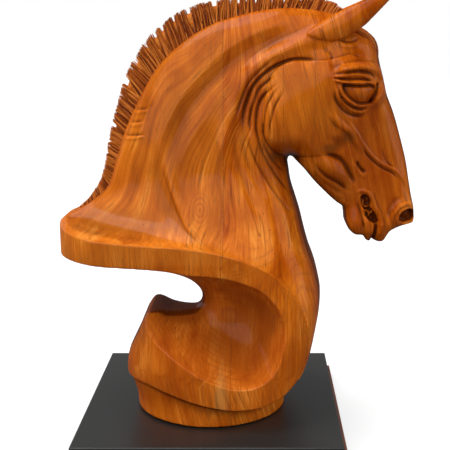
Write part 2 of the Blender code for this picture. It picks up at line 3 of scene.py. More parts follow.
import bmesh
import bpy
import numpy as np
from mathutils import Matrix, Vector


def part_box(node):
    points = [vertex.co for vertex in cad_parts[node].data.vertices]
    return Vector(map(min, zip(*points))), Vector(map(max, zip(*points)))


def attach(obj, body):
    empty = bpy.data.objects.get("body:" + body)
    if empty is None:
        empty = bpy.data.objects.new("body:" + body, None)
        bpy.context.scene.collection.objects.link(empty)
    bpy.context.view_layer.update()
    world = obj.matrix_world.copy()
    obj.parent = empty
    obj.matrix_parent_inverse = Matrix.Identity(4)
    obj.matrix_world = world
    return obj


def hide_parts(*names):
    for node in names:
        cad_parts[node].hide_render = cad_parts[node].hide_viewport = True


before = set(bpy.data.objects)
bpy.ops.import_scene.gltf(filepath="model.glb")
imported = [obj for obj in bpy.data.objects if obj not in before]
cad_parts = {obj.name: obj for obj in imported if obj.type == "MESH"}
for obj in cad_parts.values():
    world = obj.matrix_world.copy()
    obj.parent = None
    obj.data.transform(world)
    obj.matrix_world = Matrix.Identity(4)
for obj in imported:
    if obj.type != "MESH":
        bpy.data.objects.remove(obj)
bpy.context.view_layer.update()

# The underboard: a thin square board of red-brown stained wood fixed under the black slab, a little
# larger than it, so that a narrow strip of it shows along the sides. It is sawn, sanded and stained.


class Value:
    """One output of a node. Sums written with it add the nodes that work them out."""

    def __init__(self, nodes, socket):
        self.nodes = nodes
        self.socket = socket

    def __add__(self, other):
        return self.nodes.sum("ADD", self, other)

    def __sub__(self, other):
        return self.nodes.sum("SUBTRACT", self, other)

    def __rsub__(self, other):
        return self.nodes.sum("SUBTRACT", other, self)

    def __mul__(self, other):
        return self.nodes.sum("MULTIPLY", self, other)

    def __truediv__(self, other):
        return self.nodes.sum("DIVIDE", self, other)

    __radd__ = __add__
    __rmul__ = __mul__


class Nodes:
    """A tree of nodes, and short ways to add to it."""

    def __init__(self, tree):
        self.tree = tree

    def feed(self, socket, value):
        """Set a socket to a number or colour, or link it to a value."""
        if isinstance(value, Value):
            self.tree.links.new(value.socket, socket)
        else:
            socket.default_value = value

    def node(self, kind, settings, inputs, output=0):
        """Add a node: first its settings, then the values or links of its sockets."""
        made = self.tree.nodes.new("ShaderNode" + kind)
        for name, value in settings.items():
            if name == "stops":
                for place, colour in value[1:-1]:
                    made.color_ramp.elements.new(place)
                for stop, (place, colour) in zip(made.color_ramp.elements, value):
                    stop.position = place
                    stop.color = (*colour, 1)
            else:
                setattr(made, name, value)
        for name, value in inputs.items():
            self.feed(made.inputs[name], value)
        return Value(self, made.outputs[output])

    def sum(self, operation, *values):
        return self.node("Math", {"operation": operation}, dict(enumerate(values)))

    def vector(self, operation, *values):
        return self.node("VectorMath", {"operation": operation}, dict(enumerate(values)))

    def place(self):
        """Where a point is on the object, in metres."""
        return self.node("TexCoord", {}, {}, "Object")

    def parts(self, vector):
        return [self.node("SeparateXYZ", {}, {0: vector}, i) for i in range(3)]

    def joined(self, x, y, z):
        return self.node("CombineXYZ", {}, {0: x, 1: y, 2: z})

    def length(self, x, y, z):
        return self.node("VectorMath", {"operation": "LENGTH"}, {0: self.joined(x, y, z)}, "Value")

    def noise(self, vector, scale=1.0, detail=2.0, roughness=0.5):
        return self.node("TexNoise", {}, {"Vector": vector, "Scale": scale, "Detail": detail,
                                          "Roughness": roughness})

    def mottle(self, x, y, z, detail, roughness=0.5):
        return self.noise(self.joined(x, y, z), 1.0, detail, roughness)

    def step(self, value, low, high, start=0.0, end=1.0):
        """From start to end as the value goes from low to high, smoothly and no further."""
        return self.node("MapRange", {"interpolation_type": "SMOOTHSTEP"},
                         {0: value, 1: low, 2: high, 3: start, 4: end})

    def blend(self, share, first, second):
        """A colour mixed from two."""
        settings = {"data_type": "RGBA", "clamp_factor": True}
        return self.node("Mix", settings, {0: share, 6: first, 7: second}, 2)

    def ramp(self, value, *stops):
        return self.node("ValToRGB", {"stops": stops}, {0: value})


class Finish(Nodes):
    """A material being mixed, with the surface shader that its nodes feed."""

    def __init__(self, name):
        self.material = bpy.data.materials.new(name)
        self.material.use_nodes = True
        super().__init__(self.material.node_tree)
        self.surface = self.tree.nodes["Principled BSDF"]
        self.colour = None

    def stain(self, share, colour):
        """Mix this share of a colour into the one so far."""
        self.colour = self.blend(share, self.colour, (*colour, 1))

    def shade(self, roughness, height=None, depth=0.0, **constants):
        """Feed the surface shader, with a height that is raised by this depth in metres."""
        self.feed(self.surface.inputs["Base Color"], self.colour)
        self.feed(self.surface.inputs["Roughness"], roughness)
        for name, value in constants.items():
            self.surface.inputs[name.replace("_", " ")].default_value = value
        if height is not None:
            bump = self.node("Bump", {}, {"Strength": 1.0, "Distance": depth, "Height": height})
            self.feed(self.surface.inputs["Normal"], bump)

    def put_on(self, thing):
        thing.data.materials.clear()
        thing.data.materials.append(self.material)


stain = Finish("red_brown_stain")
along_x, along_y, up = stain.parts(stain.place())
stain_streaks = stain.mottle(along_x * 9, along_y * 9, up * 900, 4)
stain_fibres = stain.mottle(along_x * 60, along_y * 60, up * 4000, 3)
stain_tone = stain_streaks * 0.6 + stain_fibres * 0.4
stain.colour = stain.ramp(stain_tone, (0.25, (0.10, 0.028, 0.014)), (0.5, (0.21, 0.066, 0.034)),
                          (0.75, (0.30, 0.11, 0.06)))
stain.shade(stain_fibres * 0.2 + 0.42, stain_fibres, 0.00015)
stain.put_on(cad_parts["plinth_underboard"])

# The black slab: a square board painted satin black, standing on the underboard. Its edges are eased
# and its top has the faint unevenness and dust of brushed paint.
paint = Finish("black_satin_paint")
paint_place = paint.place()
paint_cloud = paint.noise(paint_place, 9, 3)
paint_grit = paint.noise(paint_place, 1400, 2)
paint_brush = paint.noise(paint.vector("MULTIPLY", paint_place, (60, 1500, 1500)), 1.0, 2)
paint_tone = paint_cloud * 0.5 + paint_grit * 0.3 + paint_brush * 0.2
paint.colour = paint.ramp(paint_tone, (0.3, (0.012, 0.012, 0.0115)), (0.7, (0.020, 0.020, 0.019)))
paint.shade(paint_cloud * 0.14 + 0.27, paint_grit * 0.6 + paint_brush * 0.4, 0.00005)
paint.put_on(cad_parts["plinth_slab"])

# The carving: one block of polished hardwood, glued up from boards and carved to a horse's head. Its
# neck flares to a flat ledge, turns under that into a scooped bowl and ends in a round foot. It is
# drawn from its side as a chart of half thicknesses, sawn out of a slab, and carved to that chart.
CARVING_HEIGHT = 0.4674
DRAWN_HEIGHT = 468.0
UNIT = CARVING_HEIGHT / DRAWN_HEIGHT
FOOT_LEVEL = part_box("horse_carving")[0].z
CARVING_SET_FORWARD = 0.012
CHART_STEP = 0.5
REMESH_STEP = 1.15
CARVING_TRIANGLES = 192000
MANE_HALF_THICKNESS = 9.0
MANE_CORE = 5.5
LEDGE_REACH = 80.0
LEDGE_END_ROUNDING = 60.0
LEDGE_END = -169.0
BOWL_REACH = 98.0
BOWL_MIDDLE = 9.0
FOOT_REACH = 85.0
SCOOP_LENGTH = 60.0
WEB_HALF_THICKNESS = 30.0
WEB_THICKENING = 12.0
SCOOP_STEEPNESS = 2.6
CREST_ROUNDING = 24.0
CHEST_ROUNDING = 40.0
JAW_ROUNDING = 26.0
SLOT_ROUNDING = 26.0
FOOT_ROUNDING = 7.0
EDGE_ROUNDING = 5.0
EASED_EDGE = 0.8
BLOCK_HALF_THICKNESS = 8.0
SETTLING_REACH = 3.0
SETTLING_STEP = 1.5

# The heights between which the ledge turns into the bowl, and the chest into the foot; x and z of the
# place where the mane starts.
LEDGE_TURN = (70, 175)
CHEST_TURN = (55, 75)
MANE_START = (150, 225)

# The outline of the carving seen from the side, run by run, each run a smooth line.
THROAT = [(84, 0), (85, 14), (89, 26), (98, 41), (108, 58), (115, 76), (120, 96), (123.5, 116),
        (124.5, 136), (122, 152), (117, 172), (110, 191), (105, 209), (100, 229), (95, 245), (90, 261),
        (87.5, 276), (86.5, 284), (88.5, 288), (92, 287)]
JAW = [(92, 287), (98, 281), (105, 274), (116, 261), (129, 248), (140, 238), (148, 232), (150, 224),
        (151, 216), (155, 207), (162, 200.5), (171, 199), (175, 194), (179, 192.5), (181.5, 195)]
FACE = [(181.5, 195), (185, 193), (190, 191.5), (195, 193), (199, 199), (203, 204), (211, 208),
        (219, 211), (227, 214), (229, 220), (228, 232), (225, 246), (222, 262), (218, 284), (211, 310),
        (203, 336), (195, 356), (190, 374), (186, 390), (183, 404), (178, 416), (168, 423), (156, 431),
        (143, 438), (146, 447)]
MANE_TIPS = [(146, 447), (132, 456), (110, 459), (75, 460), (34, 459), (8, 457), (-19, 450), (-40, 440),
        (-55, 428), (-71, 411), (-88, 384), (-101, 349), (-110, 318), (-116, 286), (-124, 260),
        (-138, 240), (-153, 227)]
LEDGE_TIP = [(-153, 227), (-160, 223.5), (-166, 219), (-169, 212), (-169, 197), (-169, 186),
        (-167, 182)]
SLOT = [(-167, 182), (-147, 182), (-106, 179), (-75, 177), (-55, 175), (-38, 170), (-25, 160),
        (-16, 147), (-11, 135), (-11, 124), (-17, 115.5), (-30, 113), (-46, 114), (-59, 117.5),
        (-68, 116.5), (-74, 111), (-77, 105)]
LIP = [(-77, 105), (-82, 93), (-89, 79), (-95, 66), (-98, 54), (-97, 42), (-92, 32), (-88, 20),
        (-86.5, 10), (-86, 0)]
MANE_COMB = [(146, 447), (137, 449.5), (129, 450.5), (109, 453), (75, 454), (35, 453.5), (10, 451),
        (-16, 444.5), (-36.5, 435), (-51, 423.5), (-66.5, 407), (-83, 381), (-95.5, 347),
        (-104.5, 316.5), (-110.5, 285), (-119, 257.5), (-135, 237), (-153, 227)]
OUTLINE = [THROAT, JAW, FACE, MANE_COMB, LEDGE_TIP, SLOT, LIP]

# Lines on the carving's side: where the mane stands on the neck, and the two edges of the cut band.
CREST = [(-153, 227), (-143, 232), (-127, 242), (-112, 258), (-102, 289), (-90, 323), (-76, 352),
        (-59, 381), (-40, 402), (-16, 420), (4, 431), (18, 436), (49, 444), (80, 448), (104, 447),
        (126, 444), (146, 438)]
BAND_OUTER = [(-172, 214), (-158, 213), (-134, 209), (-96, 204.5), (-68, 202), (-36, 200), (-10, 197),
        (19, 191), (37, 185), (56, 177), (76, 165), (88, 152), (97, 139), (104, 122), (107, 104),
        (107, 84), (104, 71), (98, 58), (87, 45), (75, 36), (58, 29), (38, 26), (18, 26.5), (-15, 33),
        (-39, 39), (-64, 44), (-81, 44), (-102, 41)]
BAND_INNER = [(-172, 183), (-147, 182), (-106, 179), (-75, 177), (-45, 175), (-22, 171), (-2, 169.5),
        (19, 167), (38, 162), (56, 154), (70, 142), (78, 130), (82, 117), (82, 102), (79, 87), (75, 74),
        (67, 62), (56, 53.5), (41, 49), (18, 51), (-7, 62), (-30, 75), (-49, 86), (-61, 93), (-69, 101),
        (-73, 109), (-76, 120)]

# How far the bowl and the foot go to the left and to the right at each height: z, x.
BOWL_LEFT = [(40, -98), (54, -98), (66, -95), (79, -89), (93, -82), (105, -77), (118, -70)]
BOWL_RIGHT = [(30, 112), (60, 115), (90, 120), (116, 124), (150, 124)]
FOOT_LEFT = [(0, -86), (10, -86.5), (20, -88), (32, -92), (42, -97), (54, -98)]
FOOT_RIGHT = [(0, 84), (14, 85), (26, 89), (41, 98), (58, 108), (76, 115), (90, 118)]

# How quickly the ledge's top sinks back into the neck: x, length.
FLARE_SPREAD = [(-170, 9), (-60, 12), (20, 20), (80, 34), (110, 40)]

# How broadly the throat and the face are rounded over at each height: z, radius.
THROAT_ROUNDING = [(180, 40), (260, 34), (300, 30)]
FACE_ROUNDING = [(200, 14), (260, 15), (400, 20)]

# How thick half the neck and head are at places well inside their outline: x, z, half thickness.
SOUNDINGS = [(-140, 225, 12), (-110, 235, 22), (-80, 260, 28), (-90, 300, 24), (-60, 300, 32),
             (-30, 250, 40), (0, 240, 45), (0, 215, 52), (40, 225, 52), (70, 205, 56), (95, 180, 62),
             (110, 150, 66), (-60, 340, 28), (-20, 330, 38), (20, 310, 40), (55, 280, 41),
             (75, 250, 46), (-30, 390, 24), (0, 380, 32), (40, 350, 37), (20, 415, 26),
             (50, 400, 34), (70, 420, 30), (105, 430, 26), (100, 400, 36), (70, 370, 39),
             (65, 340, 43), (90, 350, 43), (90, 310, 40), (120, 370, 44), (120, 400, 38),
             (150, 365, 45), (165, 380, 43), (150, 410, 36), (175, 400, 33), (125, 330, 40),
             (120, 290, 30), (150, 320, 37), (175, 350, 34), (190, 330, 24), (150, 290, 29),
             (175, 300, 26), (200, 300, 20), (150, 250, 22), (175, 255, 24), (205, 265, 21),
             (165, 215, 21), (190, 210, 21), (215, 225, 24), (220, 250, 20)]

# An ear: x and z of its middle line, distance out from the middle plane, half its width, half its
# thickness.
EAR = [(84, 404, 30, 5, 8), (96, 411, 31, 6.5, 9), (106, 415.5, 31, 8.5, 9.3),
       (117, 420, 31, 10.5, 10.5), (130, 424.5, 33, 13, 11), (144, 431, 35, 14, 11.3),
       (157, 438.5, 35.5, 13.2, 10), (166, 444.5, 34.5, 11.2, 8.6), (176, 451.5, 33, 8.8, 7),
       (186, 458.5, 31, 6.4, 5), (194, 463.5, 29, 4, 3.4), (201, 467.3, 27.5, 0.9, 0.9)]
EAR_SIDES = 64
EAR_CUP = 0.72
EAR_CUP_MIDDLE = 1.08 * math.pi
EAR_CUP_SPREAD = 0.34
EAR_INNER_LIP = 0.35


def smooth_line(points, steps=6):
    """An open smooth line through the points, with this many steps between each two."""
    points = np.array(points, float)
    before = 2 * points[0] - points[1]
    after = 2 * points[-1] - points[-2]
    ends = np.vstack([before, points, after])
    t = np.arange(steps)[:, None] / steps
    runs = []
    for a, b, c, d in zip(ends[:-3], ends[1:-2], ends[2:-1], ends[3:]):
        bend = 2 * a - 5 * b + 4 * c - d + t * (3 * (b - c) + d - a)
        runs.append(b + 0.5 * t * (c - a + t * bend))
    return np.vstack(runs + [points[-1:]])


def outline_loop():
    """The whole outline as one closed ring of points, without its first point repeated."""
    return np.vstack([smooth_line(run)[:-1] for run in OUTLINE])


def rounding(depth, radius):
    """0 at an edge, rising round a quarter circle to 1 at this radius in from it."""
    return np.sqrt(1 - (1 - np.clip(depth / radius, 0, 1)) ** 2)


def smoothstep(value, low, high):
    t = np.clip((value - low) / (high - low), 0, 1)
    return t * t * (3 - 2 * t)


class Chart:
    """A map of the carving's side, one number for each place x, z of a fine grid."""

    def __init__(self, step):
        self.step = step
        self.xs = np.arange(-182, 242, step)
        self.zs = np.arange(-8, 476, step)
        self.x, self.z = np.meshgrid(self.xs, self.zs)
        self.half = self.edge = self.keep = self.slope = self.flow = None

    def window(self, points, margin):
        """The rows and columns within this margin of the points."""
        low = np.min(points, axis=0) - margin
        high = np.max(points, axis=0) + margin
        columns = slice(*np.searchsorted(self.xs, (low[0], high[0])))
        rows = slice(*np.searchsorted(self.zs, (low[1], high[1])))
        return rows, columns

    def measure(self, view, start, end):
        """Distance to a straight piece of line, how far along it that is, and on which side."""
        run = end - start
        dx = self.x[view] - start[0]
        dz = self.z[view] - start[1]
        t = np.clip((dx * run[0] + dz * run[1]) / np.hypot(*run) ** 2, 0, 1)
        return np.hypot(dx - t * run[0], dz - t * run[1]), t, run[0] * dz - run[1] * dx

    def distance(self, line, reach=75.0):
        """Distance to a line, up to the reach, and on which side of it a place lies, left being +1."""
        best = np.full(self.x.shape, float(reach))
        side = np.zeros(self.x.shape)
        for start, end in zip(line[:-1], line[1:]):
            if (start == end).all():
                continue
            view = self.window((start, end), reach)
            gap, _, turn = self.measure(view, start, end)
            nearer = gap < best[view]
            best[view] = np.where(nearer, gap, best[view])
            side[view] = np.where(nearer, np.sign(turn), side[view])
        return best, side

    def inside(self, loop):
        """True for the places inside a closed ring of points."""
        hits = np.zeros(self.x.shape, bool)
        for (ax, az), (bx, bz) in zip(loop, np.roll(loop, -1, axis=0)):
            rows = slice(*np.searchsorted(self.zs, (min(az, bz), max(az, bz))))
            level = self.zs[rows]
            if len(level):
                crossing = ax + (bx - ax) * (level - az) / (bz - az)
                hits[rows] ^= self.xs[None, :] < crossing[:, None]
        return hits

    def stroke(self, points, height, left_width, right_width=None, taper=0.25):
        """Raise a ridge, or with a height below 0 cut a groove, along a smooth line.

        The ends fade out over this share of the line; left and right are as the line runs."""
        line = smooth_line(points)
        right_width = right_width or left_width
        view = self.window(line, max(left_width, right_width))
        best = np.full(self.x[view].shape, 1e6)
        side = np.zeros(best.shape)
        along = np.zeros(best.shape)
        lengths = np.hypot(*np.diff(line, axis=0).T)
        gone = 0.0
        for start, end, length in zip(line[:-1], line[1:], lengths):
            gap, t, turn = self.measure(view, start, end)
            nearer = gap < best
            best = np.where(nearer, gap, best)
            side = np.where(nearer, turn, side)
            along = np.where(nearer, gone + t * length, along)
            gone += length
        width = np.where(side > 0, left_width, right_width)
        bump = np.clip(1 - (best / width) ** 2, 0, 1) ** 2
        share = along / gone
        fade = smoothstep(np.minimum(share, 1 - share), -0.02, taper) if taper else 1
        self.half[view] += height * bump * fade * self.keep[view]

    def strokes(self, *lines):
        for line in lines:
            self.stroke(*line)

    def swell(self, centre, radii, height, lean=0.0):
        """Raise or sink an oval patch, its first radius leaning up from X by this many degrees."""
        view = self.window([centre], max(radii))
        turn = np.radians(lean)
        dx = self.x[view] - centre[0]
        dz = self.z[view] - centre[1]
        along = (dx * np.cos(turn) + dz * np.sin(turn)) / radii[0]
        across = (dz * np.cos(turn) - dx * np.sin(turn)) / radii[1]
        bump = np.clip(1 - along ** 2 - across ** 2, 0, 1) ** 2
        self.half[view] += height * bump * self.keep[view]

    def plateau(self, points, height, shoulder):
        """Raise or sink everything inside a smooth ring, with a rounded shoulder this broad."""
        loop = smooth_line(list(points) + [points[0]])
        within = self.inside(loop)
        gap, _ = self.distance(loop, shoulder)
        self.half += height * np.where(within, rounding(gap, shoulder), 0) * self.keep

    def soften(self, field, spread):
        """The field blurred by this spread."""
        rows = np.fft.fftfreq(field.shape[0] * 2, self.step)
        columns = np.fft.rfftfreq(field.shape[1] * 2, self.step)
        fade = np.exp(-2 * (np.pi * spread) ** 2 * (rows[:, None] ** 2 + columns[None, :] ** 2))
        wide = np.pad(field, ((0, field.shape[0]), (0, field.shape[1])), mode="symmetric")
        return np.fft.irfft2(np.fft.rfft2(wide) * fade, wide.shape)[:field.shape[0], :field.shape[1]]

    def read(self, field, x, z):
        """The field between the grid's places."""
        column = np.clip((x - self.xs[0]) / self.step, 0, len(self.xs) - 1.001)
        row = np.clip((z - self.zs[0]) / self.step, 0, len(self.zs) - 1.001)
        i = row.astype(int)
        j = column.astype(int)
        v = row - i
        u = column - j
        low = field[i, j] * (1 - u) + field[i, j + 1] * u
        high = field[i + 1, j] * (1 - u) + field[i + 1, j + 1] * u
        return low * (1 - v) + high * v


def thin_plate(soundings, x, z):
    """The smoothest surface through the soundings, with a little give."""
    places = np.array(soundings, float)
    count = len(places)

    def bend(square):
        return square * np.log(square + 1e-9)

    apart = (places[:, None, :2] - places[None, :, :2]) ** 2
    matrix = np.zeros((count + 3, count + 3))
    matrix[:count, :count] = bend(apart.sum(axis=2)) + 40 * np.eye(count)
    matrix[:count, count] = matrix[count, :count] = 1
    matrix[:count, count + 1:] = places[:, :2]
    matrix[count + 1:, :count] = places[:, :2].T
    weights = np.linalg.solve(matrix, np.append(places[:, 2], [0, 0, 0]))
    surface = weights[count] + weights[count + 1] * x + weights[count + 2] * z
    for place, weight in zip(places, weights):
        surface = surface + weight * bend((x - place[0]) ** 2 + (z - place[1]) ** 2)
    return surface


def region_left_of(line, far_left=-260):
    """A ring round everything between an open line and the far left of the drawing."""
    return np.vstack([line, (far_left, line[-1][1]), (far_left, line[0][1])])


def smooth_value(at, pairs, spread=10):
    """Straight runs between the pairs, rounded at their corners and read at these places."""
    pairs = np.array(pairs, float)
    grid = np.arange(pairs[0, 0] - 2 * spread, pairs[-1, 0] + 2 * spread)
    bell = np.hanning(2 * spread + 1)
    padded = np.pad(np.interp(grid, pairs[:, 0], pairs[:, 1]), spread, mode="edge")
    return np.interp(at, grid, np.convolve(padded, bell / bell.sum(), mode="valid"))


def band_reach(x, z):
    """How far the cut band stands out from the middle plane, round the ledge and round the bowl."""
    left = smooth_value(z, BOWL_LEFT)
    right = smooth_value(z, BOWL_RIGHT)
    to_left = np.clip((BOWL_MIDDLE - x) / (BOWL_MIDDLE - left), 0, 1)
    to_right = np.clip((x - BOWL_MIDDLE) / (right - BOWL_MIDDLE), 0, 1)
    plan = np.where(x < BOWL_MIDDLE, np.sqrt(1 - to_left ** 2), (1 - to_right ** 4) ** 0.25)
    ledge = LEDGE_REACH * rounding(x - LEDGE_END, LEDGE_END_ROUNDING)
    return BOWL_REACH * plan + (ledge - BOWL_REACH * plan) * smoothstep(z, *LEDGE_TURN)


def foot_reach(x, z):
    """The round foot, which spreads to the bowl's width at its two sides."""
    left = smooth_value(z, FOOT_LEFT)
    right = smooth_value(z, FOOT_RIGHT)
    across = (2 * x - left - right) / (right - left)
    return FOOT_REACH * np.sqrt(np.clip(1 - across ** 2, 0, 1))


def base_form(chart):
    """Fill the chart with the half thickness of the smooth form, before any small carving."""
    x = chart.x
    z = chart.z
    loop = outline_loop()
    within = chart.inside(loop)
    gap, _ = chart.distance(np.vstack([loop, loop[:1]]))
    chart.edge = np.where(within, -gap, gap)
    outer = smooth_line(BAND_OUTER)
    inner = smooth_line(BAND_INNER)
    below_outer = chart.inside(region_left_of(outer))
    in_hollow = chart.inside(region_left_of(inner))
    to_outer, _ = chart.distance(outer, 200)
    to_inner, _ = chart.distance(inner)
    reach = band_reach(x, z)

    crest = smooth_line(CREST)
    to_crest, crest_side = chart.distance(crest)
    to_throat, _ = chart.distance(smooth_line(THROAT))
    to_jaw, _ = chart.distance(smooth_line(JAW))
    to_face, _ = chart.distance(smooth_line(FACE))
    core = thin_plate(SOUNDINGS, x, z)
    to_face = to_face + (chart.soften(to_face, 3) - to_face) * smoothstep(to_face, 3, 10)
    front = rounding(to_throat, smooth_value(z, THROAT_ROUNDING)) * rounding(to_jaw, JAW_ROUNDING)
    front = front * rounding(to_face, smooth_value(z, FACE_ROUNDING))
    back = MANE_HALF_THICKNESS + (core - MANE_HALF_THICKNESS) * rounding(to_crest, CREST_ROUNDING)
    neck = back * front
    spread = smooth_value(x, FLARE_SPREAD)
    chest_radius = CHEST_ROUNDING * (1 - np.exp(-(to_throat + to_outer) / CHEST_ROUNDING)) + 1e-3
    chest = rounding(to_throat, chest_radius)
    flare = neck + (reach * chest - neck) * np.exp(-to_outer / spread)
    mane = (crest_side > 0) & (z > MANE_START[1]) & (x < MANE_START[0])
    flare = np.where(mane, MANE_CORE * rounding(8 - to_crest / 3, 4), flare)

    to_slot, _ = chart.distance(smooth_line(SLOT))
    depth = to_inner + (chart.soften(to_inner, 6) - to_inner) * smoothstep(to_inner, 2, 22)
    web = WEB_HALF_THICKNESS + WEB_THICKENING * smoothstep(110 - z, 0, 60)
    web = web * rounding(to_slot, SLOT_ROUNDING)
    rise = np.clip(1 - depth / SCOOP_LENGTH, 0, 1) ** SCOOP_STEEPNESS
    hollow = web + (reach - web) * rise

    foot = foot_reach(x, z)
    foot = foot + (reach - foot) * np.clip(1 - to_outer / FOOT_ROUNDING, 0, 1) ** 2
    low = 1 - smoothstep(z + np.clip(x - 80, 0, 20), *CHEST_TURN)
    below = foot * low + flare * (1 - low)

    half = np.where(in_hollow, hollow, reach)
    chart.half = np.where(below_outer, half, np.where(z < 90, below, flare))
    chart.keep = rounding(-chart.edge, EDGE_ROUNDING)
    return chart


def carve_neck(chart):
    """The hollow under the crest, the muscles of the neck and the folds of the throat."""
    chart.strokes(
        ([(112, 432), (88, 422), (66, 413), (46, 404), (28, 393), (13, 380), (-4, 362), (-22, 338),
         (-36, 308), (-42, 280)], -5.5, 17, 15),
        ([(104, 420), (77, 404), (57, 390), (42, 375), (31, 356), (25, 333), (24, 305)], 4.5, 12),
        ([(-50, 290), (-47, 281), (-42, 263), (-34, 242), (-23.5, 221), (-12, 210.5), (1, 201)], 3.0,
         11, 3.5))
    chart.swell((-7, 238), (38, 28), 4.5, 65)
    chart.stroke([(-58, 290), (-54, 262), (-46, 238), (-34, 216)], -3.0, 13)
    for low, tip in ((341, -64), (327.5, -70), (313, -68)):
        root = -79 - (341 - low) * 0.36
        chart.stroke([(root - 6, low - 1), (root + 4, low), (tip, low + 1.5)], -1.5, 2.6)
        chart.stroke([(root - 6, low - 4.5), (root + 6, low - 3.5), (tip, low)], 1.0, 2.6)
    chart.strokes(
        ([(-64, 345), (-57, 352), (-53, 362)], 0.8, 2.5),
        ([(62, 390), (76, 399), (90, 407.5), (104, 414.5), (117, 420), (130, 424), (144, 430)], 7.0, 13,
         20, 0.5))


def carve_throat(chart):
    """The long folds that run down from behind the cheek to the front of the throat."""
    chart.stroke([(44, 330), (48, 312), (58, 284), (77, 254), (99, 225)], 2.6, 6)
    for line, depth, width in (
            ([(51, 324), (55, 305), (62, 289), (72, 272), (85, 254), (96, 242)], 2.6, 3.2),
            ([(46, 322), (50, 303), (60, 282), (77, 256), (99, 226)], 2.2, 3.2),
            ([(41, 326), (45, 303), (54, 282), (70, 256), (92, 226), (101, 214)], 1.6, 3.4),
            ([(57, 312), (64, 295), (76, 279), (90, 266)], 2.2, 2.8),
            ([(36, 322), (39, 296), (50, 268), (68, 240)], 1.6, 5),
            ([(29, 318), (31, 288), (42, 256), (58, 226)], 1.3, 6)):
        chart.stroke(line, -depth, width, None, 0.3)
    chart.stroke([(18, 330), (20, 290), (34, 250), (56, 214)], 2.0, 12)


def carve_cheek(chart):
    """The flat round cheek, the thin deep folds behind it and the jaw under it."""
    before = chart.half.copy()
    chart.plateau([(150, 400), (124, 394), (107, 394), (91, 394), (79, 389), (69, 380), (63, 366),
        (60, 350), (58, 333), (60, 315), (67, 302), (78, 293), (90, 290), (111, 291), (132, 293),
        (160, 290), (190, 300), (190, 380)], 6.0, 14)
    towards_face = smoothstep(chart.x + 0.35 * (340 - chart.z), 105, 165)
    chart.half += (before - chart.half) * towards_face
    for line, depth, width in (
            ([(123, 388), (116, 391), (106, 394.5), (91, 394.5), (81, 392), (71, 387.5), (62, 381.5),
              (54, 374.5), (47.5, 366), (43, 355), (39, 342), (37.5, 326), (40, 308)], 3.4, 3.0),
            ([(78, 400.5), (70, 395), (60, 387), (50, 377.5), (42, 367), (36, 353), (31, 338),
              (28, 322)], 2.4, 2.6),
            ([(78, 380), (70.5, 376.5), (62, 370.5), (54, 362), (50, 351.5), (46, 340), (44.5, 325),
              (47, 308)], 2.9, 2.6),
            ([(77, 372), (69.5, 366), (60, 357.5), (54.5, 348.5), (52, 338), (51.5, 322), (55, 306)],
             2.7, 2.4),
            ([(78, 368), (70.5, 360), (65, 351.5), (62, 343), (60, 331.5), (59.5, 317), (64, 303)],
             2.5, 2.2),
            ([(82, 363.5), (76.5, 355.5), (72, 347.5), (68.5, 337), (66, 324), (68, 310)], 2.1, 2.2)):
        chart.stroke(line, -depth, width, None, 0.3)
    chart.stroke([(70, 374), (60, 366), (52, 353), (48, 338)], 1.2, 4)
    chart.swell((70, 296), (20, 12), -4.0, -50)
    chart.swell((136, 276), (25, 11), 6.5, -50)
    chart.strokes(
        ([(114, 285), (125, 271), (142, 261), (154, 250)], -3.4, 4.2),
        ([(122, 294), (136, 291.5), (146, 285), (154, 271.5), (162, 256)], -3.6, 4.4),
        ([(112, 277), (122, 264), (138, 253), (150, 246)], -1.6, 4),
        ([(126, 341), (140, 327), (152, 318), (160, 306), (168, 292)], 3.2, 7, 4))
    chart.swell((140, 306), (14, 8), -2.8, -40)
    chart.strokes(
        ([(138, 336), (133, 318), (128, 305)], -1.0, 8),
        ([(142, 340), (150, 329), (159, 318), (167, 305), (177, 292), (190, 281.5), (203, 275),
         (213, 264), (219, 252), (222, 241)], 2.2, 2.6, 2.0),
        ([(166, 301), (175, 289), (189, 277.5), (201, 271.5), (209, 262)], -1.8, 2.2),
        ([(188, 300), (191, 290), (196, 282.5), (203, 277)], -1.2, 2.0),
        ([(161, 287), (163, 281), (168, 275), (172, 272)], -3.6, 2.8),
        ([(158, 285), (160, 278), (165, 271), (172, 267)], 1.4, 3))
    chart.swell((116, 397.5), (17, 10), 3.0, -8)
    chart.stroke([(127.5, 404), (130.5, 398), (130.5, 390)], -1.2, 2.4)
    chart.swell((135, 385), (9, 12), -3.0, 10)


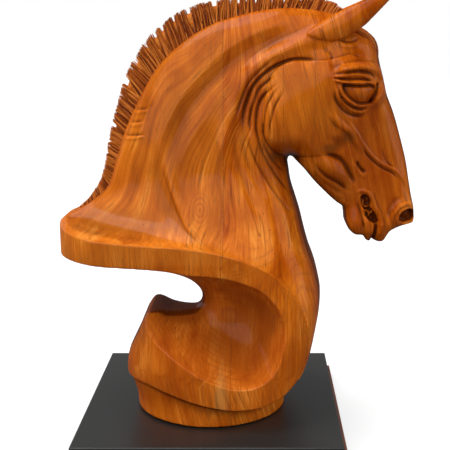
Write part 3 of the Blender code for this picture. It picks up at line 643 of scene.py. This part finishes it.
def carve_eye(chart):
    """The heavy brow, the lid with its folds, the lower lid and the eyeball between them."""
    chart.swell((160, 365), (36, 30), 4.0, -15)
    chart.plateau([(141, 371), (150, 371), (160, 370.5), (170, 371), (177.5, 367), (177, 357),
        (173, 348.5), (164, 346.5), (156, 349), (148, 355), (142.5, 363)], -6.5, 2.4)
    chart.swell((161, 359.5), (21, 17), 9.0, -10)
    chart.strokes(
        ([(128, 378), (137, 382), (148, 385.5), (160, 387), (172, 386), (182, 382), (189, 374),
         (189, 364), (183, 353), (174, 342)], 6.5, 7.2, 6.0, 0.2),
        ([(131, 379), (139, 381), (146, 382.2), (158, 383.4), (169, 381.2), (176.5, 376), (178.5, 369)],
         -1.8, 2.0, 2.6, 0.15),
        ([(131, 377), (139, 377.6), (146, 378.4), (157, 379.2), (167, 377.2), (173, 373.5)], 3.0, 2.2,
         2.4, 0.2),
        ([(131, 375.4), (139, 374.8), (149, 374.4), (158, 374.6), (168, 373.6), (175, 371.5)], -3.4,
         1.8, 2.0, 0.15),
        ([(132, 374.4), (138, 372.6), (144, 371), (151, 370.2), (162, 369.8), (171, 370.2),
         (177.5, 367), (179.5, 362)], 4.6, 2.2, 2.2, 0.12),
        ([(141, 368.6), (151, 367.4), (162, 366.8), (172, 367.2)], -3.4, 1.8, 1.8, 0.2),
        ([(180.5, 371), (179.5, 362), (176.5, 354), (172, 347.5)], -7.5, 3.0, 3.4, 0.15),
        ([(138.2, 369), (141.2, 360), (147.6, 352.4), (156.4, 347.2), (165, 346), (171, 348.6)], 3.6,
         1.9, 1.9, 0.15),
        ([(137, 367.4), (140, 357.6), (146.8, 349.6), (155.4, 344.2), (164.6, 342.4), (170.6, 344.6)],
         -2.4, 1.3, 1.3, 0.2),
        ([(135.6, 367), (138.2, 355.6), (145.4, 347), (154.4, 341.2), (163.4, 339.2), (170.4, 341)],
         3.4, 2.3, 2.6, 0.2),
        ([(132, 366), (134.5, 354), (141.5, 343.5), (151, 337), (161, 334.6), (170, 336)], -1.8, 3.2),
        ([(136, 411), (150, 408), (164, 412)], 1.8, 3.4),
        ([(136, 415), (150, 412.5), (162, 417)], -2.0, 3))
    chart.swell((152, 398), (16, 9), -1.8, 0)


def carve_muzzle(chart):
    """The open mouth with its torn inner forms, the chin and the flared nostril."""
    chart.stroke([(181, 224), (184, 217), (184.2, 207), (182, 190)], -6.0, 3.2, 3.2, 0)
    chart.plateau([(166.4, 245), (168.6, 248), (172.4, 248), (176.2, 244.8), (177.6, 239),
        (177.2, 234.4), (180.6, 230.4), (184.4, 225), (186.8, 218.4), (184.4, 214.8), (179, 216.2),
        (175.4, 219.6), (172, 224.4), (171.4, 229.6), (168.4, 234), (166.8, 239.6)], -10.0, 2.2)
    chart.stroke([(166.5, 240), (168.5, 234), (170.5, 228)], 2.0, 1.8)
    for line, height in (
            ([(167, 243.6), (170, 240.6), (169.6, 236.6), (172.6, 233.4), (176.6, 234.6)], 6.5),
            ([(174.2, 246), (173.6, 242.2), (175.2, 239.6)], 4.5),
            ([(171.4, 229.6), (174.4, 228.6), (176.6, 225.4), (176, 221.8)], 7.5),
            ([(179.8, 230), (179.2, 226.6), (181.6, 223.6), (180.6, 219.6)], 7.0),
            ([(185.2, 222.4), (183.4, 219.4), (184.2, 216)], 4.5)):
        chart.stroke(line, height, 1.9, 1.5, 0.15)
    chart.strokes(
        ([(160.5, 247), (164, 251.5), (170, 252.4), (175.5, 249.5), (179.5, 243), (183, 234),
         (187.5, 226), (190.5, 216), (191.5, 206), (193.5, 199)], 3.2, 3.2),
        ([(162.5, 243), (165, 234), (168.5, 222.5), (172, 208)], -2.4, 3.2))
    chart.swell((157.5, 217), (16, 20), 4.0, 0)
    chart.strokes(
        ([(172, 222), (175, 212), (177.5, 200)], 2.4, 4.4),
        ([(190, 218), (190, 208), (189.5, 198)], 2.0, 5),
        ([(146, 241), (153.5, 233)], 1.2, 4))
    chart.swell((215, 226), (20, 17), 4.0, 10)
    chart.plateau([(209, 218.5), (209.5, 225), (213.5, 230), (220.5, 231.8), (226.5, 229), (228, 222),
        (223, 217.5), (215, 216)], -17.0, 3.4)
    chart.strokes(
        ([(203, 216), (202.5, 222), (204.5, 229), (210, 235), (217, 237.6), (224, 235.5), (229, 228)],
         3.6, 3.6, 2.8),
        ([(197, 220), (198, 231), (204, 240.5), (214, 245.5)], -1.4, 4.4),
        ([(206, 215), (214, 213.5), (223, 214.5), (230, 217)], 2.0, 3))


def add_object(name, mesh, collection):
    thing = bpy.data.objects.new(name, mesh)
    collection.objects.link(thing)
    return thing


def apply_modifier(thing, kind, **settings):
    """Put one modifier on an object and keep its result as the mesh."""
    bpy.context.view_layer.objects.active = thing
    modifier = thing.modifiers.new(kind.title(), kind)
    for setting, value in settings.items():
        setattr(modifier, setting, value)
    bpy.ops.object.modifier_apply(modifier=modifier.name)


def points_of(mesh):
    points = np.empty(len(mesh.vertices) * 3)
    mesh.vertices.foreach_get("co", points)
    return points.reshape(-1, 3)


def outline_slab(half_depth, collection):
    """The outline as a flat board of this half depth, in the drawing's units, upright along Y."""
    loop = outline_loop()
    curve = bpy.data.curves.new("outline", "CURVE")
    curve.dimensions = "2D"
    curve.fill_mode = "BOTH"
    curve.extrude = half_depth
    spline = curve.splines.new("POLY")
    spline.points.add(len(loop) - 1)
    for point, (x, z) in zip(spline.points, loop):
        point.co = (x, z, 0, 1)
    spline.use_cyclic_u = True
    drawn = add_object("outline", curve, collection)
    mesh = bpy.data.meshes.new_from_object(drawn)
    bpy.data.objects.remove(drawn)
    flat = points_of(mesh)
    upright = np.column_stack([flat[:, 0], -flat[:, 2], flat[:, 1]])
    mesh.vertices.foreach_set("co", upright.ravel())
    return add_object("carved_horse_head", mesh, collection)


def ear_mesh(side):
    """One cupped ear, lofted through its sections; side is -1 for the near ear, 1 for the far one."""
    rows = smooth_line(EAR, 8)
    along = np.gradient(rows[:, :2], axis=0)
    along = along / np.linalg.norm(along, axis=1)[:, None]
    angles = np.linspace(0, 2 * np.pi, EAR_SIDES, endpoint=False)
    form = bmesh.new()
    rings = []
    for row, (ax, az) in zip(rows, along):
        x, z, out, width, thick = row
        ring = []
        for angle in angles:
            round_cup = 1 - EAR_CUP * np.exp(-((angle - EAR_CUP_MIDDLE) / EAR_CUP_SPREAD) ** 2)
            across = width * np.cos(angle) * round_cup
            outward = thick * np.sin(angle) * round_cup
            if np.pi < angle < 1.5 * np.pi:
                across *= 1 + EAR_INNER_LIP * np.sin(angle) ** 2
            place = (x - az * across, side * (out + outward), z + ax * across)
            ring.append(form.verts.new(place))
        rings.append(ring)
    for low, high in zip(rings[:-1], rings[1:]):
        for i in range(EAR_SIDES):
            j = (i + 1) % EAR_SIDES
            form.faces.new((low[i], low[j], high[j], high[i]))
    form.faces.new(rings[0])
    form.faces.new(rings[-1])
    bmesh.ops.recalc_face_normals(form, faces=form.faces)
    mesh = bpy.data.meshes.new("ear")
    form.to_mesh(mesh)
    form.free()
    return mesh


def depth_into(chart, points):
    """Distance from each point to the carved surface, below 0 inside, with the cut edges eased."""
    x, y, z = points.T
    half = chart.read(chart.half, x, z)
    slope = chart.read(chart.slope, x, z)
    face = (np.abs(y) - half) / slope + EASED_EDGE
    edge = chart.read(chart.edge, x, z) + EASED_EDGE
    outside = np.hypot(np.maximum(face, 0), np.maximum(edge, 0))
    return outside + np.minimum(np.maximum(face, edge), 0) - EASED_EDGE


def settle(chart, points, rounds=3):
    """Move each point straight onto the carved surface, but not the points of the ears."""
    for _ in range(rounds):
        depth = depth_into(chart, points)
        pull = np.zeros_like(points)
        for axis in range(3):
            shift = np.zeros(3)
            shift[axis] = 0.5
            pull[:, axis] = depth_into(chart, points + shift) - depth_into(chart, points - shift)
        pull = pull / (np.linalg.norm(pull, axis=1)[:, None] + 1e-9)
        near = np.where(depth < SETTLING_REACH, np.clip(depth, -SETTLING_STEP, SETTLING_STEP), 0)
        points = points - 0.8 * near[:, None] * pull
    return points


def grain_chart():
    """Where each place lies across the wood's streaks, on a coarser chart, for they run smoothly."""
    chart = Chart(2.0)
    crest = smooth_line(CREST)
    throat = smooth_line(THROAT)
    to_crest, crest_side = chart.distance(crest, 400)
    to_throat, _ = chart.distance(throat, 400)
    to_crest = np.where(crest_side > 0, -to_crest, to_crest)
    flow = 150 * to_crest / (np.abs(to_crest) + to_throat + 20)
    on_head = smoothstep(chart.x + 0.3 * (chart.z - 300), 40, 110)
    flow += (0.963 * chart.x + 0.27 * chart.z - flow) * on_head
    below = chart.inside(region_left_of(smooth_line(BAND_OUTER)))
    under = below | (chart.z < 40)
    chart.flow = np.where(under, 0.97 * chart.x + 0.22 * chart.z * (chart.z < 60), flow)
    return chart


def cut_faces(chart):
    """1 on the cut band, -1 in the scoop under it and 0 elsewhere."""
    below = chart.inside(region_left_of(smooth_line(BAND_OUTER)))
    in_hollow = chart.inside(region_left_of(smooth_line(BAND_INNER)))
    return below * 1.0 - 2.0 * in_hollow


def sunk(chart, spread, least, full):
    """How deep each place lies under the form blurred by this spread: 0 at the least depth, 1 at the
    full one."""
    depth = chart.soften(chart.half, spread) - chart.half
    return np.clip((depth - least) / (full - least), 0, 1)


def set_in_place(points):
    """Points of the drawing, in metres and where the carving stands."""
    return points * UNIT + np.array([0, -CARVING_SET_FORWARD, FOOT_LEVEL])


def drawn_place(finish):
    """x, y and z of a place on the object, in the drawing's units."""
    forward = (0, CARVING_SET_FORWARD / UNIT, -FOOT_LEVEL / UNIT)
    return finish.parts(finish.vector("MULTIPLY_ADD", finish.place(), (1 / UNIT,) * 3, forward))


def build_carving(collection):
    """The whole wooden carving as one solid."""
    chart = base_form(Chart(CHART_STEP))
    for carve in (carve_neck, carve_throat, carve_cheek, carve_eye, carve_muzzle):
        carve(chart)
    flow = grain_chart()
    cut = cut_faces(chart)
    # How deep the fine grooves lie: it darkens them with darker wax and with painted shade.
    hollow = np.maximum(sunk(chart, 2.2, 0, 1.2), sunk(chart, 7, 2.5, 5))
    # How deep the broad hollows lie, for painted shade in them.
    broad_shade = sunk(chart, 12, 0, 5) * rounding(-chart.edge, 30)
    slope_z, slope_x = np.gradient(chart.half, chart.step)
    chart.slope = np.sqrt(1 + slope_x ** 2 + slope_z ** 2)
    carving = outline_slab(BLOCK_HALF_THICKNESS, collection)
    apply_modifier(carving, "REMESH", mode="VOXEL", voxel_size=REMESH_STEP)
    points = points_of(carving.data)
    half = np.maximum(chart.read(chart.half, points[:, 0], points[:, 2]), 1.0)
    points[:, 1] *= half / BLOCK_HALF_THICKNESS
    carving.data.vertices.foreach_set("co", points.ravel())
    form = bmesh.new()
    form.from_mesh(carving.data)
    for side in (-1, 1):
        form.from_mesh(ear_mesh(side))
    form.to_mesh(carving.data)
    form.free()
    apply_modifier(carving, "REMESH", mode="VOXEL", voxel_size=REMESH_STEP)
    points = settle(chart, points_of(carving.data))
    carving.data.vertices.foreach_set("co", points.ravel())
    apply_modifier(carving, "SMOOTH", factor=0.4, iterations=1)
    count = 2 * len(carving.data.polygons)
    apply_modifier(carving, "DECIMATE", ratio=min(1, CARVING_TRIANGLES / count))
    points = points_of(carving.data)
    points[:, 2] = np.maximum(points[:, 2], 0)
    x, y, z = points.T
    on_form = smoothstep(chart.read(chart.half, x, z) - np.abs(y), -3, -1)
    grain = np.column_stack([flow.read(flow.flow, x, z), z, y])
    # The work attribute: the cut band, the groove depth for darker wax and painted shade, and the broad
    # hollows for painted shade.
    work = np.column_stack([chart.read(cut, x, z), chart.read(hollow, x, z) * on_form,
                            chart.read(broad_shade, x, z) * on_form])
    for name, values in (("grain", grain), ("work", work)):
        layer = carving.data.attributes.new(name, "FLOAT_VECTOR", "POINT")
        layer.data.foreach_set("vector", values.astype(np.float32).ravel())
    carving.data.vertices.foreach_set("co", set_in_place(points).ravel())
    carving.data.polygons.foreach_set("use_smooth", np.ones(len(carving.data.polygons), bool))
    return carving


carving = build_carving(bpy.context.scene.collection)
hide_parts("horse_carving")
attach(carving, "root")

# Its wood: orange-brown hardwood in glued boards, sanded very smooth and waxed to a satin gloss. The
# streaks follow the cuts, dark growth lines cross the flat faces, and the grooves hold darker wax. The
# grooves and the broad hollows are also darkened as painted shade, and patches and spots of painted
# shade lie on the face, under the jaw, at the throat and at the cheek's edge.
# Lengths in it are in the drawing's units. The glue lines: x, and the heights between which each shows.
SEAMS = [(16, 175, 470), (14, 140, 215), (24, -5, 112), (80, 290, 410), (113, 300, 425),
         (3.5, 383, 440)]


def wood_figure(wood, across, along, depth, place):
    """Colour the wood by its grain, and give its growth rings, fine fibres and slow waviness."""
    x, y, z = place
    warp = wood.mottle(x / 60, y / 60, z / 130, 1, 0.4) - 0.5
    flow = across + warp * 22
    broad = wood.mottle(flow / 15, depth / 60, along / 260, 3)
    streak = wood.mottle(flow / 2.8, depth / 30, along / 170, 3, 0.6)
    patch = wood.mottle(x / 26, y / 26, z / 48, 3)
    fine = wood.mottle(flow / 0.9, depth / 9, along / 60, 2)
    pith = wood.length(x - 22 - z * 0.06, y * 0.9, 0.0)
    ring = (pith + warp * 34) / 5.6
    line = wood.sum("FRACT", ring)
    ring_line = wood.step(line, 0.0, 0.16, 1.0, 0.0) + wood.step(line, 0.72, 1.0)
    on_head = wood.step(x + z * 0.3, 130, 205)
    calm = (1 - on_head * 0.55) * wood.step(z, 196, 212, 0.6, 1.0)
    figure = (broad - 0.5) * 0.62 + (streak - 0.5) * (patch - 0.12)
    tone = figure * calm + (patch - 0.5) * 0.42 + (fine - 0.5) * 0.22 + 0.53 - on_head * 0.03
    wood.colour = wood.ramp(tone, (0.26, (0.13, 0.018, 0.0006)), (0.42, (0.37, 0.064, 0.0018)),
                            (0.56, (0.58, 0.138, 0.0070)), (0.74, (0.80, 0.280, 0.036)))
    thread = wood.mottle(flow / 6, depth / 45, along / 230, 2)
    vein = wood.step(wood.sum("ABSOLUTE", thread - 0.5), 0.004, 0.022, 1.0, 0.0)
    vein = vein * wood.step(patch, 0.45, 0.6)
    wood.stain(vein * 0.55, (0.11, 0.022, 0.002))
    return ring_line, fine, warp


wood = Finish("polished_hardwood")
place = drawn_place(wood)
x, y, z = place
across, along, depth = wood.parts(wood.node("Attribute", {"attribute_name": "grain"}, {}, "Vector"))
# Read back the cut band, the groove depth and the broad hollows; the last two feed painted shade.
cut, hollow, broad_shade = wood.parts(wood.node("Attribute", {"attribute_name": "work"}, {}, "Vector"))
ring_line, fine, warp = wood_figure(wood, across, along, depth, place)
patchy = wood.mottle(x / 30, y / 30, z / 60, 2)
on_band = wood.step(cut, 0.2, 0.8)
in_scoop = wood.step(cut, -0.2, -0.8)
ring_share = wood.step(patchy, 0.42, 0.62) * 0.25 + in_scoop * 0.15
wood.stain(ring_line * ring_share, (0.20, 0.045, 0.010))
# The broad hollows darkened as painted shade.
wood.stain(wood.step(broad_shade, 0.05, 0.8) * 0.6, (0.22, 0.045, 0.002))
band_streak = wood.mottle(x / 2.2, y / 9, z / 40, 3)
band_share = on_band * wood.step(band_streak, 0.42, 0.68) * 0.35
wood.stain(band_share, (0.17, 0.045, 0.008))
wood.stain(on_band * 0.22, (0.30, 0.060, 0.003))
wood.stain(in_scoop * 0.35, (0.30, 0.060, 0.010))
seams = 0.0
dots = wood.step(wood.mottle(x, y, z / 2.2, 1), 0.40, 0.52)
for at, low, high in SEAMS:
    near = wood.step(wood.sum("ABSOLUTE", x - at + warp * 1.5), 0.15, 0.75, 1.0, 0.0)
    seams = seams + near * wood.step(z, low, low + 6) * wood.step(z, high - 6, high, 1.0, 0.0)
wood.stain(seams * dots * 0.6, (0.12, 0.03, 0.008))
left_board = wood.step(x - 16, -0.4, 0.4, 1.0, 0.0) * wood.step(z, 178, 184)
wood.stain(left_board * 0.15, (0.72, 0.25, 0.03))
# Patches of tone; those at 185, 300 on the face, at 128, 255 under the jaw and at 70, 292 at the throat
# are painted shade, and the one at -32, 322 under the crest is partly dark wood, partly painted shade.
for at_x, at_z, wide, tall, share, tint in (
        (17, 45, 9, 32, 0.42, (0.50, 0.24, 0.060)), (30, 355, 26, 40, 0.25, (0.20, 0.030, 0.001)),
        (98, 345, 44, 50, 0.20, (0.74, 0.23, 0.016)), (185, 300, 46, 74, 0.42, (0.24, 0.032, 0.001)),
        (128, 255, 40, 34, 0.55, (0.14, 0.018, 0.001)), (70, 292, 26, 40, 0.45, (0.16, 0.022, 0.001)),
        (-70, 30, 48, 44, 0.40, (0.22, 0.032, 0.001)),
        (-32, 322, 20, 60, 0.40, (0.18, 0.030, 0.001))):
    patch = wood.length((x - at_x + warp * 30) / wide, 0.0, (z - at_z + warp * 30) / tall)
    wood.stain(wood.step(patch, 0.2, 1.1, share, 0.0), tint)
# Dark spots of painted shade in the hollows at the cheek's edge and at the throat.
for at_x, at_z, wide, tall in ((147, 310, 11, 8), (131, 299, 12, 7), (71, 292, 9, 7)):
    painted_shade_spot = wood.length((x - at_x + warp * 14) / wide, 0.0, (z - at_z + warp * 14) / tall)
    wood.stain(wood.step(painted_shade_spot, 0.2, 1.2, 0.55, 0.0), (0.10, 0.035, 0.005))
eye_ring = wood.length((x + 9 + warp * 6) / 8, 0.0, (z - 236) / 13)
knot_rings = wood.sum("SINE", eye_ring * 15) * 0.5 + 0.5
knot = wood.step(eye_ring, 0.5, 2.0, 1.0, 0.0)
wood.stain(knot * knot_rings * 0.45, (0.27, 0.06, 0.018))
pore_noise = wood.mottle(across / 0.55, depth / 3, along / 3.4, 1)
pores = wood.step(pore_noise, 0.70, 0.78)
wood.stain(pores * 0.75, (0.06, 0.015, 0.004))
# The grooves darkened, partly by darker wax and partly as painted shade.
wood.stain(wood.step(hollow, 0.05, 1.0) * 0.8, (0.075, 0.012, 0.001))
height = fine * 0.25 - pores * 0.9 - seams * dots * 0.5
roughness = fine * 0.10 + wood.step(hollow, 0.0, 0.8) * 0.15 + 0.32
wood.shade(roughness, height, 0.00025, Specular_IOR_Level=0.0, Coat_Weight=0.20,
           Coat_Roughness=0.14)
wood.put_on(carving)

# The mane: a stiff standing comb of hair along the crest, cut into the same wood as many hundreds of
# fine strands with ragged tips, and a short forelock laid down the forehead. It is darker than the
# neck, for its wood is left rough from the gouge.
STRAND_PITCH = 1.45
STRAND_ROWS = [-8.6, -6.3, -3.2, 0.2, 3.4, 6.3, 8.6]
ROOT_DEPTH = 5.0
STRAND_LIFT = 0.30
STRAND_SIDES = 5
STRAND_WIDTHS = (0.72, 1.05)
STRAND_TAPER = np.array([1, 1, 1, 0.95, 0.75, 0.28])
LONGEST_REACH = 40.0
USUAL_REACH = 26.0

# The forelock: its line down the forehead from the side, and how the forehead rounds away from it.
FORELOCK = [(163, 427.5), (171, 423), (178.4, 415.8), (182.8, 407), (184.2, 398.5)]
FORELOCK_SPREAD = np.linspace(-22, 22, 37)
FORELOCK_TAPER = 1.2 * np.array([1, 1, 1, 1, 1, 0.9, 0.75, 0.5, 0.15])
FACE_RADIUS = 20.0
BROW_REACH = 33.0


def along_line(line, count):
    """This many evenly spaced places on a line, and the line's direction at each."""
    lengths = np.hypot(*np.diff(line, axis=0).T)
    gone = np.concatenate([[0], np.cumsum(lengths)])
    at = np.linspace(0, gone[-1], count)
    places = np.column_stack([np.interp(at, gone, line[:, k]) for k in (0, 1)])
    heading = np.gradient(places, axis=0)
    return places, heading / np.linalg.norm(heading, axis=1)[:, None]


def reach_to(root, direction, line):
    """How far it is from a root along a direction to a line."""
    start = line[:-1] - root
    run = line[1:] - line[:-1]
    turn = direction[0] * run[:, 1] - direction[1] * run[:, 0]
    turn = np.where(np.abs(turn) < 1e-9, 1e-9, turn)
    far = (start[:, 0] * run[:, 1] - start[:, 1] * run[:, 0]) / turn
    share = (start[:, 0] * direction[1] - start[:, 1] * direction[0]) / turn
    hits = far[(share >= 0) & (share <= 1) & (far > 0)]
    return hits.min() if len(hits) else 0.0


def add_strand(form, tone_layer, path, widths, thickness, tone):
    """One strand: a bent bar of five sides that tapers along its path to a point."""
    path = np.array(path, float)
    heading = np.gradient(path, axis=0)
    heading /= np.linalg.norm(heading, axis=1)[:, None]
    rings = []
    for point, ahead, width in zip(path, heading, widths):
        across = np.array([-ahead[2], 0, ahead[0]])
        across /= np.linalg.norm(across) + 1e-9
        ring = []
        for k in range(STRAND_SIDES):
            angle = 2 * math.pi * k / STRAND_SIDES + 0.3
            outward = np.array([0, math.sin(angle) * thickness * width, 0])
            corner = form.verts.new(point + (math.cos(angle) * width * across + outward))
            corner[tone_layer] = tone
            ring.append(corner)
        rings.append(ring)
    for low, high in zip(rings[:-1], rings[1:]):
        for i in range(STRAND_SIDES):
            j = (i + 1) % STRAND_SIDES
            form.faces.new((low[i], low[j], high[j], high[i]))
    form.faces.new(rings[0][::-1])
    form.faces.new(rings[-1])


def build_mane(collection):
    """All the strands of the mane, row beside row through its thickness."""
    chance = np.random.default_rng(11)
    crest = smooth_line(CREST[::-1])[::-1]
    tips = smooth_line(MANE_TIPS)[::-1]
    count = int(np.hypot(*np.diff(crest, axis=0).T).sum() / STRAND_PITCH)
    form = bmesh.new()
    tone_layer = form.verts.layers.float.new("tone")
    lean = np.zeros(count)
    short = np.zeros(count)
    k = 0
    while k < count:
        lot = int(chance.integers(5, 13))
        held = len(lean[k:k + lot])
        lean[k:k + lot] = chance.normal(0, 0.05) + np.linspace(0.08, -0.08, held)
        short[k:k + lot] = chance.uniform(0, 0.03) + np.linspace(chance.uniform(0.01, 0.08), 0, held)
        if chance.uniform() < 0.10:
            short[k:k + 1] += 0.30
        k += lot
    for row in STRAND_ROWS:
        places, headings = along_line(crest, count)
        for k in range(count):
            out = np.array([-headings[k][1], headings[k][0]])
            lift = STRAND_LIFT + lean[k] + chance.normal(0, 0.03)
            turn = np.array([[math.cos(lift), math.sin(lift)], [-math.sin(lift), math.cos(lift)]])
            direction = turn @ out
            root = places[k] + chance.normal(0, 0.35, 2)
            far = reach_to(root, direction, tips)
            if far < 2:
                continue
            if far > LONGEST_REACH:
                far = USUAL_REACH
            far *= 1.03 - short[k] - abs(chance.normal(0, 0.03)) - 0.012 * abs(row) / 8
            steps = np.linspace(0, 1, 6)
            sway = chance.normal(0, 0.7) * np.sin(steps * math.pi * chance.uniform(0.7, 1.4))
            side = np.array([direction[1], -direction[0]])
            path = []
            for s, w in zip(steps, sway):
                flat = root + direction * (far + ROOT_DEPTH) * s - direction * ROOT_DEPTH + side * w
                drift = row + chance.normal(0, 0.28) - 0.12 * row * s
                path.append((flat[0], drift, flat[1]))
            widths = chance.uniform(*STRAND_WIDTHS) * STRAND_TAPER
            add_strand(form, tone_layer, path, widths, chance.uniform(0.9, 1.3), chance.uniform())
    for y in FORELOCK_SPREAD:
        for layer in (0, 1):
            drop = FACE_RADIUS * (1 - math.sqrt(1 - (y / BROW_REACH) ** 2)) + layer
            guide = FORELOCK + chance.normal(0, 0.35, (5, 2)) - (drop, drop * 0.6)
            flat = smooth_line(guide, 2)
            drift = y + chance.normal(0, 0.3) - 0.35 * y * np.linspace(0, 1, len(flat)) ** 1.5
            path = np.column_stack([flat[:, 0], drift, flat[:, 1]])
            add_strand(form, tone_layer, path, FORELOCK_TAPER, 1.0, chance.uniform())
    for vertex in form.verts:
        vertex.co = vertex.co * UNIT + Vector((0, -CARVING_SET_FORWARD, FOOT_LEVEL))
    mesh = bpy.data.meshes.new("mane_strands")
    form.to_mesh(mesh)
    form.free()
    return add_object("mane_strands", mesh, collection)


mane = build_mane(bpy.context.scene.collection)
hair = Finish("rough_cut_hardwood")
x, y, z = drawn_place(hair)
tone = hair.node("Attribute", {"attribute_name": "tone"}, {}, "Fac")
cloud = hair.mottle(x / 26, y / 26, z / 26, 3)
grit = hair.mottle(x / 1.2, y / 1.2, z / 1.2, 2)
mixed = tone * 0.62 + cloud * 0.30 + grit * 0.16
hair.colour = hair.ramp(mixed, (0.22, (0.14, 0.018, 0.001)), (0.5, (0.40, 0.085, 0.004)),
                        (0.85, (0.68, 0.210, 0.026)))
hair.shade(grit * 0.2 + 0.42, grit, 0.0003, Specular_IOR_Level=0.15)
hair.put_on(mane)
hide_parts("horse_carving")
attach(mane, "root")

# The floor, the light and the camera: a wide pale floor in a white room, a soft light above and to
# the left, a stronger one in front, weaker ones from the right and from behind on the left, and a
# camera a little above the carving's middle.
floor_mesh = bpy.data.meshes.new("floor")
floor_mesh.from_pydata([(-9, -9, 0), (9, -9, 0), (9, 9, 0), (-9, 9, 0)], [], [(0, 1, 2, 3)])
floor = add_object("floor", floor_mesh, bpy.context.scene.collection)
pale = Finish("pale_floor")
pale.colour = (0.93, 0.93, 0.93, 1)
pale.shade(0.9)
seen = pale.node("LightPath", {}, {}, "Is Camera Ray")
dim = pale.node("BsdfDiffuse", {}, {"Color": (0.18, 0.18, 0.18, 1)}, "BSDF")
lit = pale.node("BsdfDiffuse", {}, {"Color": (0.40, 0.40, 0.40, 1)}, "BSDF")
even = pale.node("Emission", {}, {"Color": (1, 1, 1, 1), "Strength": 0.66}, "Emission")
bright = pale.node("AddShader", {}, {0: lit, 1: even}, "Shader")
both = pale.node("MixShader", {}, {0: seen, 1: dim, 2: bright}, "Shader")
pale.feed(pale.tree.nodes["Material Output"].inputs["Surface"], both)
pale.put_on(floor)

world = bpy.data.worlds.new("white_room")
bpy.context.scene.world = world
world.use_nodes = True
room = Nodes(world.node_tree)
sky = room.tree.nodes["Background"]
sky.inputs["Color"].default_value = (1, 1, 1, 1)
to_back = room.parts(room.node("TexCoord", {}, {}, "Generated"))[1]
backdrop = room.node("MapRange", {}, {0: to_back, 1: 0.0, 2: 0.7, 3: 0.06, 4: 0.30})
seen = room.node("LightPath", {}, {}, "Is Camera Ray")
room.feed(sky.inputs["Strength"], room.node("MapRange", {}, {0: seen, 3: backdrop, 4: 1.0}))


def add_sun(name, towards, spread, strength, sheen=1.0):
    """A broad even light from far off, from the side that this vector points to."""
    lamp = bpy.data.lights.new(name, "SUN")
    lamp.energy = strength
    lamp.angle = math.radians(spread)
    lamp.specular_factor = sheen
    thing = add_object(name, lamp, bpy.context.scene.collection)
    thing.rotation_euler = Vector(towards).to_track_quat("Z", "Y").to_euler()


add_sun("overhead_light", (-0.40, -0.02, 1.0), 40, 2.0)
add_sun("front_light", (-0.50, -0.90, 0.85), 80, 2.6)
add_sun("side_light", (1.0, -0.15, 0.35), 60, 1.4)
add_sun("rear_light", (-0.80, 0.60, 0.22), 60, 0.9, sheen=0.0)

bpy.context.scene.view_settings.view_transform = "Standard"
lens = bpy.data.cameras.new("camera")
lens.lens = 71.36
lens.sensor_width = 36
lens.shift_x = -0.0736
camera = add_object("camera", lens, bpy.context.scene.collection)
camera.location = (0.0535, -1.002, 0.448)
camera.rotation_euler = (math.radians(90 - 11.8), 0, 0)
bpy.context.scene.camera = camera
